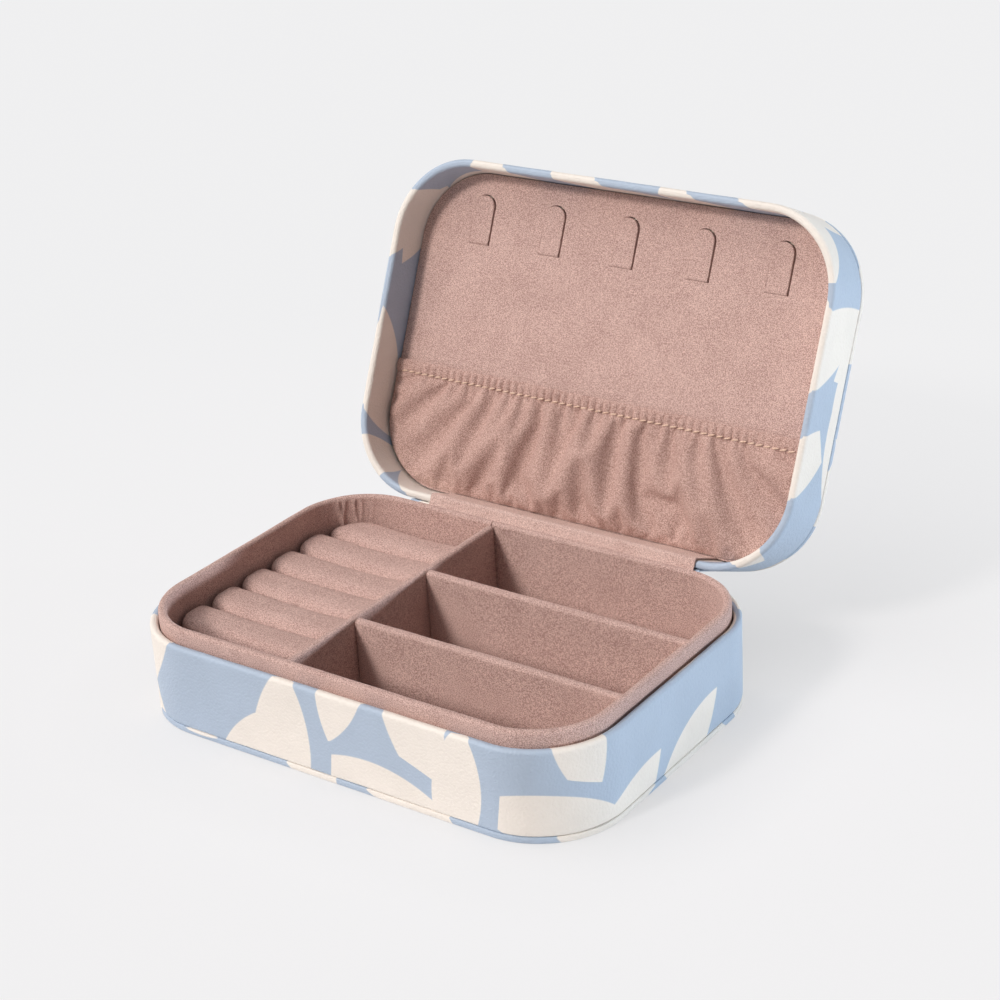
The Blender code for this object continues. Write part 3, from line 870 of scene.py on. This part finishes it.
def fill_out(points, axes, centre, sides):
    """Square a round edge about a centre, on the side that the signs of its two axes name."""
    arm = points[:, axes] - centre
    share = np.abs(arm) / np.maximum(np.linalg.norm(arm, axis=1), 1e-9)[:, None]
    fuller = (share**BAR_FULLNESS).sum(axis=1) ** (-1 / BAR_FULLNESS)
    there = (arm * sides >= 0).all(axis=1)
    points[:, axes] = centre + arm * np.where(there, fuller, 1.0)[:, None]


# %% Make the seven bars
BAR_EASE = 0.7 * MM  # the foam gives this much under the tight cloth
BAR_DROOP = 1.1 * MM  # and this much more at the ends, within a few millimetres
DROOP_REACH = 8.0 * MM

for number in range(1, 8):
    node = f"ring_bar_{number}"
    copy_of(nodes[node])
    bar = named(f"{node}_suede")
    pick(bar, "VERT", lambda vertex: True)
    bpy.ops.mesh.remove_doubles(threshold=SAME)
    activate(bar)
    swell(bar)
    modify(bar, "SUBSURF", levels=1, render_levels=1)
    low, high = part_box(node)
    points = read_points(bar)
    half = (high.y - low.y) / 2
    fill_out(points, [1, 2], [low.y + half, high.z - half], [0, 1])
    fill_out(points, [0, 2], [low.x + BAR_END, high.z - BAR_END], [-1, 1])
    points = np.clip(points, low, high)
    points[:, 0] = high.x - (high.x - points[:, 0]) * (high.x - low.x) / (high.x - points[:, 0].min())
    from_end = np.minimum(points[:, 0] - low.x, high.x - points[:, 0])
    give = BAR_EASE + BAR_DROOP * np.exp(-from_end / DROOP_REACH)
    points[:, 2] -= give * (points[:, 2] - low.z) / (high.z - low.z)
    write_points(bar, points)
    bpy.ops.object.shade_smooth()
    hand_in(bar, suede, "suede", "base", node)

# %% [markdown]
# ## The lid's lining and its necklace tabs
#
# The lining is a thin card covered in microsuede. Five tongues are die-cut through it and stay
# joined at a crease, so a chain hangs behind them. One cutter with an arched end is copied five times
# and taken out with Boolean; a slightly smaller tongue, also modelled once and copied, fills each
# hole. Every tongue stands a little proud and a little to one side, as cut tabs do, and the cloth rolls
# out softly above its crease, where the card under it only bends.

# %% Model a tongue
TAB_WIDTH = 7.8 * MM
TAB_LENGTH = 16.2 * MM


def tongue(name, grow, foot, rows, low, high):
    """A tongue with an arched end towards -Y and its crease on Y = 0, in rows that can bend."""
    half = TAB_WIDTH / 2 + grow
    tip = -TAB_LENGTH - grow
    piece = start_from("plane", name, (2 * half, half, 1), (0, tip + half / 2, low))
    pick(piece, "VERT", lambda vertex: vertex.co.y < tip + half / 2)
    bevel(half * 0.98, 12, "VERTICES")
    step = (foot - tip - half) / rows
    for row in range(rows):
        reached = tip + half + row * step
        pick(piece, "EDGE", lambda edge: all(end.y > reached - SAME for end in ends(piece, edge)))
        extrude(0, step, 0)
    pick(piece, "FACE", lambda face: True)
    extrude(0, 0, high - low)
    face_outwards()
    activate(piece)
    return piece


def soften_card(piece, width):
    """Round the cut edges of covered card and keep its flat faces flat."""
    modify(piece, "BEVEL", width=width, segments=3, limit_method="ANGLE", angle_limit=SMOOTH_BELOW)
    activate(piece)
    bpy.ops.object.shade_smooth()
    modify(piece, "WEIGHTED_NORMAL", keep_sharp=True)


# %% Cut the lining
LINED_EDGE = 2.9 * MM
CARD = 1.8 * MM
TAB_SLIT = 0.32 * MM

folds = {}  # each tab's body and the middle of its crease
for joint in frame["joints"]:
    if joint["child"].startswith("necklace_tab"):
        folds[joint["child"]] = OPEN.inverted() @ Vector(joint["pos_m"])

lining = outline_face("lid_lining_suede", LINED_EDGE, LINING_FACE)
extrude(0, 0, CARD)
face_outwards()
past_both = {"low": LINING_FACE - MM, "high": LINING_FACE + CARD + MM}
cutter = tongue("tab_cutter", grow=TAB_SLIT, foot=TAB_SLIT, rows=1, **past_both)
for place in folds.values():
    punch = copy_of(cutter)
    punch.location = (place.x, place.y, 0)
    settle(punch)
    modify(lining, "BOOLEAN", object=punch, operation="DIFFERENCE", solver="EXACT")
    bpy.data.objects.remove(punch)
bpy.data.objects.remove(cutter)
soften_card(lining, width=0.28 * MM)
open_with_lid(lining)
hand_in(lining, suede, "suede", "lid", "lid_lining")

# %% Fill the holes with tongues
TAB_ASIDE = 0.3 * MM
TAB_ROWS = 30
TAB_CURL = 1.4  # 1 is a flat tab, more bends it towards its tip
FOOT_ROLL, ROLL_WIDTH = 0.35 * MM, 0.6 * MM  # the cloth rolls out above the crease
TAB_LIFTS = (0.55, 0.4, 0.62, 0.45, 0.5)  # how proud each tip stands, mm

as_card = {"low": LINING_FACE, "high": LINING_FACE + CARD}
tab_model = tongue("tab", grow=0, foot=TAB_SLIT * 0.9, rows=TAB_ROWS, **as_card)
soften_card(tab_model, width=0.3 * MM)
for (name, place), tip_lift in zip(sorted(folds.items()), TAB_LIFTS):
    copy_of(tab_model)
    tab = named(f"{name}_suede")
    points = read_points(tab)
    along = np.clip(-points[:, 1] / TAB_LENGTH, 0, 1)
    roll = np.exp(-(((points[:, 1] + ROLL_WIDTH) / ROLL_WIDTH) ** 2))
    points[:, 2] -= tip_lift * MM * along**TAB_CURL + FOOT_ROLL * roll
    points[:, :2] += [place.x - TAB_ASIDE, place.y]
    write_points(tab, points)
    open_with_lid(tab)
    hand_in(tab, suede, "suede", name, name)
bpy.data.objects.remove(tab_model)

# %% [markdown]
# ## The gathered pocket
#
# The pocket is microsuede cut wider than the lid. A thread through its hem draws it up over an
# elastic, so fine gathers start at the stitches and run together into a few
# soft folds, and its own weight makes it belly out near the foot. Folds can be drawn by hand, but they
# look drawn. Here the cloth starts flat at its cut size in front of the lining, and its held
# rows (the header, the two sides and the foot) are drawn in to the lid's size while Cloth lets the
# rest fold. Gravity points the way it does with the lid open.

# %% Cut the pocket
POCKET_SIDE = 3.2 * MM
POCKET_FOOT = 3.9 * MM
HEADER = 4.0 * MM
SEAM_HEIGHT = 1.35 * MM  # the cloth's middle above the lining
POCKET_COLUMNS, HEADER_ROWS, BODY_ROWS = 186, 5, 40

SEAM = shut_box("pocket_elastic")[1].y  # the stitch line lies on the elastic's lower edge
rows = HEADER_ROWS + BODY_ROWS
activate(None)
bpy.ops.mesh.primitive_grid_add(x_subdivisions=POCKET_COLUMNS, y_subdivisions=rows, size=2.0)
pocket = named("lid_pocket_suede")
flat = read_points(pocket)
across = flat[:, 0]
row = (flat[:, 1] + 1) / 2 * rows
in_header = row < HEADER_ROWS + 0.5
body = np.clip((row - HEADER_ROWS) / BODY_ROWS, 0, 1)  # 0 at the stitches, 1 at the foot
half_width = LENGTH / 2 - POCKET_SIDE
x = across * half_width
corner = np.maximum(np.abs(x) - (LENGTH / 2 - CORNER_RADIUS), 0) / (CORNER_RADIUS - POCKET_SIDE)
foot = DEPTH / 2 - CORNER_RADIUS + (CORNER_RADIUS - POCKET_FOOT) * np.sqrt(np.maximum(1 - corner**2, 0))
y = np.where(row < HEADER_ROWS, SEAM + HEADER * (row / HEADER_ROWS - 1), SEAM + (foot - SEAM) * body)
print("pocket, mm:", round(2 * half_width / MM, 1), "x", round(float(y.max() - y.min()) / MM, 1))

# %% Lay the cut cloth out with soft waves to start its folds
TOP_FULLNESS = 1.13  # cut width over finished width, at the stitches and at the foot
FOOT_FULLNESS = 1.08
TALL_FULLNESS = 1.05
FOOT_HEIGHT = 0.7 * MM
BELLY = 2.0 * MM  # how far the middle of the pocket stands out at first
GATHER, GATHER_STEP, GATHER_REACH = 0.25 * MM, 2.2 * MM, 6 * MM  # fine waves under the stitches
FOLD, FOLD_STEP = 3.2 * MM, 22 * MM  # broad waves that the cloth turns into folds
FOLD_SLANT, SLANT_STEP = 0.25, 30 * MM  # how much a fold leans, and over what width that changes


def unevenness(t, step, seed):
    """Smooth random values between -1 and 1 along a line."""
    knots = np.random.RandomState(seed).uniform(-1, 1, 512)
    place = t / step + 256
    low = np.floor(place).astype(int)
    part = place - low
    part = part * part * (3 - 2 * part)
    return knots[low] * (1 - part) + knots[low + 1] * part


belly = np.sin(math.pi * body**0.8) * (body > 0)
below = np.maximum(y - SEAM, 0)
slant = x + FOLD_SLANT * (y - SEAM) * unevenness(x, SLANT_STEP, seed=9)
start_height = SEAM_HEIGHT + BELLY * belly * (1 - np.abs(across) ** 6)
start_height += GATHER * unevenness(x, GATHER_STEP, seed=5) * np.exp(-below / GATHER_REACH) * (body > 0)
start_height += FOLD * unevenness(slant, FOLD_STEP, seed=8) * belly
fullness = TOP_FULLNESS + (FOOT_FULLNESS - TOP_FULLNESS) * body - 1
cut_x = x + fullness * half_width * 1.25 * (across - across**5 / 5)  # none at the very sides
cut_y = foot - (foot - y) * TALL_FULLNESS
height = np.where(in_header, SEAM_HEIGHT, FOOT_HEIGHT)
cut = np.column_stack([cut_x, cut_y, LINING_FACE - start_height])
drawn = np.column_stack([x, y, LINING_FACE - height])
held = in_header | (row > rows - 0.5) | (np.abs(across) > 1 - SAME)

# %% Gather the pocket
GATHER_FRAMES = 25
SETTLE_FRAMES = 50
CLOTH_GRAVITY = 0.3  # m/s2; a tenth of the size takes far less than real gravity


def gather(piece, start, end, held):
    """Draw the held points of a cloth from start to end and let Cloth fold the rest."""
    write_points(piece, start * SIMULATED_SIZE)
    bpy.ops.object.shape_key_add()
    bpy.ops.object.shape_key_add()
    key = piece.data.shape_keys.key_blocks[-1]
    key.data.foreach_set("co", (end * SIMULATED_SIZE).ravel())
    for value, frame_number in ((0, 1), (1, GATHER_FRAMES)):
        key.value = value
        key.keyframe_insert("value", frame=frame_number)
    group = piece.vertex_groups.new(name="held")
    group.add(np.nonzero(held)[0].tolist(), 1.0, "REPLACE")
    bpy.ops.mesh.primitive_plane_add(size=3.0, location=(0, 0.3, LINING_FACE * SIMULATED_SIZE))
    backing = bpy.context.object
    backing.data.flip_normals()
    bpy.ops.object.modifier_add(type="COLLISION")
    backing.collision.thickness_outer = 0.004
    backing.collision.cloth_friction = 8
    activate(piece)
    bpy.ops.object.modifier_add(type="CLOTH")
    cloth = piece.modifiers[-1]
    cloth.settings.quality = 6
    cloth.settings.mass = 0.2
    cloth.settings.bending_stiffness = 22
    cloth.settings.vertex_group_mass = "held"
    cloth.collision_settings.distance_min = 0.005
    bpy.context.scene.gravity = OPEN.inverted().to_3x3() @ Vector((0, 0, -CLOTH_GRAVITY))
    for frame_number in range(1, SETTLE_FRAMES + 1):
        bpy.context.scene.frame_set(frame_number)
    folded = piece.evaluated_get(bpy.context.evaluated_depsgraph_get()).data
    points = np.empty(3 * len(folded.vertices))
    folded.vertices.foreach_get("co", points)
    bpy.ops.object.modifier_remove(modifier=cloth.name)
    bpy.ops.object.shape_key_remove(all=True)
    piece.vertex_groups.remove(group)
    bpy.data.objects.remove(backing)
    bpy.context.scene.gravity = (0, 0, -9.81)
    bpy.context.scene.frame_set(1)
    return points.reshape(-1, 3) / SIMULATED_SIZE


# %% Let it fold
folded = gather(pocket, cut, drawn, held)
write_points(pocket, folded)
print("pocket stands out, mm:", round(float(LINING_FACE - folded[:, 2].min()) / MM, 1))

# %% Ruffle the hem and give the cloth its thickness
STITCH_PITCH = 2.8 * MM  # each stitch draws up one gather
RUFFLE_HEIGHT = 0.42 * MM
RUFFLE_WANDER, WANDER_WIDTH = 0.6, 9 * MM  # gathers aren't quite regular, in radians
RUFFLE_SHARE, SHARE_VARIES, SHARE_WIDTH = 0.75, 0.35, 6 * MM  # nor equally high
RUFFLE_REACH = 2.5 * MM  # below the stitches
EDGE_FLAT = 1.3 * MM  # the cut edge above them lies flat
HEM_PUFF, HEM_TILT = 0.3 * MM, 0.12 * MM  # its middle stands out and its edge leans back
CLOTH_THICKNESS = 0.6 * MM


def ruffle(at_x, at_y):
    """Fine gathers along the stitches: how far they stand out."""
    wander = RUFFLE_WANDER * unevenness(at_x, WANDER_WIDTH, seed=21)
    phase = 2 * math.pi * (at_x / STITCH_PITCH - 0.5) + wander
    strength = RUFFLE_SHARE + SHARE_VARIES * unevenness(at_x, SHARE_WIDTH, seed=22)
    fade = np.exp(-np.maximum(at_y - SEAM, 0) / RUFFLE_REACH) * (1 - (at_x / half_width) ** 8)
    fade *= np.clip((at_y - SEAM + HEADER) / EDGE_FLAT, 0, 1)
    return RUFFLE_HEIGHT * (1 - 2 * np.abs(np.cos(phase / 2)) ** 3) * strength * fade


modify(pocket, "SUBSURF", levels=1, render_levels=1)
points = read_points(pocket)
hem = np.clip((SEAM - points[:, 1]) / HEADER, 0, 1)
puff = HEM_PUFF * np.sin(math.pi * hem) - HEM_TILT * hem
points[:, 2] -= puff + ruffle(points[:, 0], points[:, 1])
points[:, 1] += HEM_TILT * unevenness(points[:, 0], 3 * MM, seed=23) * hem
write_points(pocket, points)
modify(pocket, "SOLIDIFY", thickness=CLOTH_THICKNESS, offset=0, use_even_offset=False)
activate(pocket)
bpy.ops.object.shade_smooth_by_angle(angle=math.radians(60))
open_with_lid(pocket)
# the pocket gets the darker copy of the microsuede, which is painted shade
hand_in(pocket, painted_shade_suede, "suede", "lid", "lid_pocket")

# %% [markdown]
# ## The pocket's stitches
#
# A thick thread runs along the hem in short slanted stitches, like a twisted cord. One stitch is a
# small capsule, modelled once; its copies follow the gathers, and every one leans a little differently.

# %% Sew the stitches
STITCH_LENGTH = 3.05 * MM
THREAD = 0.72 * MM
STITCH_SLANT, SLANT_VARIES = -13.0, 5.0  # degrees
FOLLOWS = 0.9  # how much of a gather's height a stitch follows
SUNK = 0.2  # how deep a stitch lies in the cloth, as a share of its thread
SEAM_MARGIN = 1.5 * MM  # no stitch so close to the cloth's sides

stitch = start_from("cube", "stitch", (STITCH_LENGTH, THREAD, THREAD))
modify(stitch, "SUBSURF", levels=2, render_levels=2)
stitches = []
count = int(2 * (half_width - SEAM_MARGIN) / STITCH_PITCH)
for number in range(count):
    at_x = (number - (count - 1) / 2) * STITCH_PITCH
    spot = np.array([at_x])
    gathered = FOLLOWS * float(ruffle(spot, np.array([SEAM]))[0])
    stand = SEAM_HEIGHT + CLOTH_THICKNESS / 2 + (0.5 - SUNK) * THREAD + gathered
    varies = SLANT_VARIES * float(unevenness(spot, 3 * MM, seed=31)[0])
    stitches.append(copy_of(stitch))
    place = Matrix.Translation((at_x, SEAM, LINING_FACE - stand))
    stitches[-1].matrix_world = place @ Matrix.Rotation(math.radians(STITCH_SLANT + varies), 4, "Z")
bpy.data.objects.remove(stitch)
activate(stitches[0])
for each in stitches:
    each.select_set(True)
bpy.ops.object.join()
seam_thread = named("pocket_seam_thread")
settle(seam_thread)
bpy.ops.object.shade_smooth()
open_with_lid(seam_thread)
hand_in(seam_thread, thread, "suede", "lid")
print("stitches:", count)

# %% [markdown]
# ## The hinge
#
# Two strips of sheet stock join base and lid: microsuede on the inside, over both rims, and printed
# leather on the outside. They could be flat ribbons bent by a modifier. Here one edge is extruded from
# corner to corner, and the folds are bevelled to the strip's own bend radius. The leather is left unglued
# close to the joint, because it has to bulge there when the lid is shut.

# %% Fold a strip along the hinge
BEND = 1.0 * MM  # less where two folds lie close together
STRIP_COLUMNS, STRIP_ROWS = 110, 9  # cuts along and across it
CUT_EDGE = 0.12 * MM  # how far a strip's cut edges are rounded


def on_open_lid(inset, rise):
    """A point of the open lid, from its back face inwards and from its rim, as (y, z)."""
    point = OPEN @ Vector((0, DEPTH / 2 - inset, LID_RIM + rise))
    return Vector((point.y, point.z))


def hinge_strip(name, path, reach, uneven):
    """A strip of sheet stock that follows a path in y and z and reaches from one x to another."""
    length = reach[1] - reach[0]
    first = path[1] - path[0]
    piece = start_from("plane", name, (length, first.length, 1))
    piece.rotation_euler.x = math.atan2(first.y, first.x)
    middle = (path[0] + path[1]) / 2
    piece.location = (sum(reach) / 2, *middle)
    settle(piece)

    def lies_at(edge, corner):
        return all((end.yz - corner).length < SAME for end in ends(piece, edge))

    for before, after in zip(path[1:], path[2:]):
        pick(piece, "EDGE", lambda edge: lies_at(edge, before))
        extrude(0, *(after - before))
    pick(piece, "EDGE", lambda edge: any(lies_at(edge, corner) for corner in path[1:-1]))
    between = min((after - before).length for before, after in zip(path[1:], path[2:-1]))
    bevel(min(BEND, 0.4 * between), 5, limit=True)
    divide(piece, STRIP_COLUMNS, lambda edge: abs(span(piece, edge).x) > length / 2)
    divide(piece, STRIP_ROWS, lambda edge: span(piece, edge).yz.length > 3 * MM)
    modify(piece, "DISPLACE", texture=wobble, strength=uneven, mid_level=0.5)
    modify(piece, "SOLIDIFY", thickness=SKIN, offset=0, use_even_offset=True)
    modify(piece, "BEVEL", width=CUT_EDGE, segments=2, limit_method="ANGLE", angle_limit=math.radians(60))
    activate(piece)
    bpy.ops.object.shade_smooth_by_angle(angle=SMOOTH_BELOW)
    return piece


# %% Line the hinge with microsuede
SUEDE_REACH = (-47.0 * MM, 54.0 * MM)  # a glued strip is seldom in the middle
STRIP_GAP = 0.3 * MM

middle_of_skin = STRIP_GAP + SKIN / 2
collar_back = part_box("tray_collar_lining")[1].y
suede_path = [
    Vector((collar_back + STRIP_GAP, BASE_RIM + middle_of_skin)),
    Vector((DEPTH / 2 - 1.0 * MM, BASE_RIM + middle_of_skin)),
    on_open_lid(0.0, -middle_of_skin),
    on_open_lid(WALL + middle_of_skin, -middle_of_skin),
    on_open_lid(WALL + middle_of_skin, LINING_FACE - LID_RIM - STRIP_GAP),
]
hinge_suede = hinge_strip("hinge_lining_suede", suede_path, SUEDE_REACH, uneven=0.45 * MM)
# the hinge strip gets the lighter copy of the microsuede, which is painted light
hand_in(hinge_suede, painted_light_suede, "suede", None, "hinge_lining")
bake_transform(hinge_suede)

# %% Measure along the leather strip, for its print


def path_length(points, path):
    """How far along a path each point lies."""
    best, along, done = np.full(len(points), np.inf), np.zeros(len(points)), 0.0
    for a, b in zip(path, path[1:]):
        step = np.array(b - a)
        share = np.clip(((points[:, 1:] - np.array(a)) @ step) / (step @ step), 0, 1)
        off = np.linalg.norm(points[:, 1:] - np.array(a) - share[:, None] * step, axis=1)
        nearer = off < best
        best[nearer] = off[nearer]
        along[nearer] = (done + share * (b - a).length)[nearer]
        done += (b - a).length
    return along


# %% Cover the hinge with printed leather
SPINE_REACH = (-55.5 * MM, 55.5 * MM)
SPINE_GAP = 0.15 * MM
SPINE_LAP = 11.0 * MM

seam_middle = (LID_RIM - BASE_RIM) / 2
behind = SPINE_GAP + SKIN / 2
spine_path = [
    Vector((DEPTH / 2 + behind, BASE_RIM - SPINE_LAP)),
    Vector((DEPTH / 2 + behind, BASE_RIM + seam_middle)),
    on_open_lid(-behind, seam_middle),
    on_open_lid(-behind, SPINE_LAP),
]
spine = hinge_strip("hinge_spine_leather", spine_path, SPINE_REACH, uneven=0.12 * MM)
spots = read_points(spine)
add_print_map(spine, PRINT_STARTS["spine"] + spots[:, 0], path_length(spots, spine_path), 0)
hand_in(spine, leather, "printed_leather", None, "hinge_spine")
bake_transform(spine)

# %% [markdown]
# ## Studio
#
# The camera stands in front and to the right, above the case. A warm sun from the front left is the
# key, a very soft one stands for the ceiling, a cool low one from the right fills the sides, and an even
# world gives the rest. The floor is a white sweep: where it is seen, directly or in something shiny, it
# is mixed with plain light, more so further from the case. That plain light is darkened a little where
# the case stands close over it, a painted contact shadow, and the light on the object doesn't change.

# %% Set up the camera
CAMERA_PLACE = Vector((366.3, -469.1, 341.0)) * MM
CAMERA_YAW, CAMERA_PITCH, CAMERA_ROLL = 36.12, -24.84, -3.36  # degrees
CAMERA_LENS = 79.9  # mm, on a sensor 36 mm wide

camera = bpy.data.objects.new("camera", bpy.data.cameras.new("camera"))
bpy.context.scene.collection.objects.link(camera)
camera.data.sensor_width = 36.0
camera.data.lens = CAMERA_LENS
camera.data.clip_start, camera.data.clip_end = 0.01, 50
aim = Matrix.Translation(CAMERA_PLACE)
for turn, axis in ((CAMERA_YAW, "Z"), (90 + CAMERA_PITCH, "X"), (CAMERA_ROLL, "Z")):
    aim = aim @ Matrix.Rotation(math.radians(turn), 4, axis)
camera.matrix_world = aim
bpy.context.scene.camera = camera
print("camera:", round(CAMERA_PLACE.length / MM), "mm from the middle of the case")

# %% Light it
BACKGROUND = "#f0f0f0"
scene = bpy.context.scene
scene.view_settings.view_transform = "Standard"
scene.world = scene.world or bpy.data.worlds.new("studio")
scene.world.use_nodes = True
sky = scene.world.node_tree
sky.nodes.clear()
ambient = add(sky, "ShaderNodeBackground", {"Color": linear("#f2f4f8"), "Strength": 0.16})
backdrop = add(sky, "ShaderNodeBackground", {"Color": linear(BACKGROUND), "Strength": 1.0})


def seen(tree):
    """1 for a ray from the camera, also by way of something shiny or clear, and 0 for light on things."""
    rays = add(tree, "ShaderNodeLightPath").outputs
    share = rays["Is Camera Ray"]
    for kind in ("Is Glossy Ray", "Is Transmission Ray"):
        share = add(tree, "ShaderNodeMath", {0: share, 1: rays[kind]}, operation="MAXIMUM")
    return share


shown = add(sky, "ShaderNodeMixShader", {0: seen(sky), 1: ambient, 2: backdrop})
add(sky, "ShaderNodeOutputWorld", {0: shown})


def sun(name, direction, strength, softness, colour):
    """A distant lamp that shines along a direction, with soft shadows."""
    data = bpy.data.lights.new(name, "SUN")
    data.energy, data.angle, data.color = strength, math.radians(softness), linear(colour)[:3]
    lamp = bpy.data.objects.new(name, data)
    scene.collection.objects.link(lamp)
    lamp.rotation_euler = Vector(direction).to_track_quat("-Z", "Y").to_euler()
    print(name, "sun:", strength)


sun("key", (0.27, 0.80, -0.55), strength=1.9, softness=10, colour="#fff7f1")
sun("overhead", (0.42, 0.26, -0.87), strength=1.6, softness=60, colour="#faf6f5")
sun("fill", (-0.90, -0.42, -0.01), strength=3.6, softness=5, colour="#e4f0fa")

# %% Lay the floor
NEAR, FAR = 0.12, 0.36  # m from the middle of the case; the floor clears from one to the other
CLEAR_NEAR, CLEAR_FAR = 0.68, 0.93  # the share of plain light there
CONTACT_SHADE_REACH = 40 * MM  # painted contact shadow: the case darkens the floor's plain light within this distance
FLOOR_SIZE = 20  # m
floor = start_from("plane", "floor", (FLOOR_SIZE, FLOOR_SIZE, 1))
sweep = bpy.data.materials.new("painted_studio_floor")
sweep.use_nodes = True
paint = sweep.node_tree
paint.nodes.clear()
matt = add(paint, "ShaderNodeBsdfDiffuse", {"Color": linear("#e6e6e8")})
# painted contact shadow: ambient occlusion darkens the floor's plain light close round the case
open_to_sky = add(paint, "ShaderNodeAmbientOcclusion", {"Distance": CONTACT_SHADE_REACH}).outputs["AO"]
painted_contact_shade = add(paint, "ShaderNodeMapRange", {0: open_to_sky, 3: 0.78})
spot = add(paint, "ShaderNodeTexCoord").outputs["Object"]
away = add(paint, "ShaderNodeVectorMath", {0: spot}, operation="LENGTH").outputs["Value"]
clear = add(paint, "ShaderNodeMapRange", {0: away, 1: NEAR, 2: FAR, 3: CLEAR_NEAR, 4: CLEAR_FAR})
evened = add(paint, "ShaderNodeMapRange", {0: clear, 1: CLEAR_NEAR, 2: CLEAR_FAR, 3: 1.0, 4: 0.92})
glow = add(paint, "ShaderNodeMath", {0: painted_contact_shade, 1: evened}, operation="MULTIPLY")
plain = add(paint, "ShaderNodeEmission", {"Color": linear("#fafafb"), "Strength": glow})
share = add(paint, "ShaderNodeMath", {0: seen(paint), 1: clear}, operation="MULTIPLY")
shown = add(paint, "ShaderNodeMixShader", {0: share, 1: matt, 2: plain})
add(paint, "ShaderNodeOutputMaterial", {0: shown})
floor.data.materials.append(sweep)
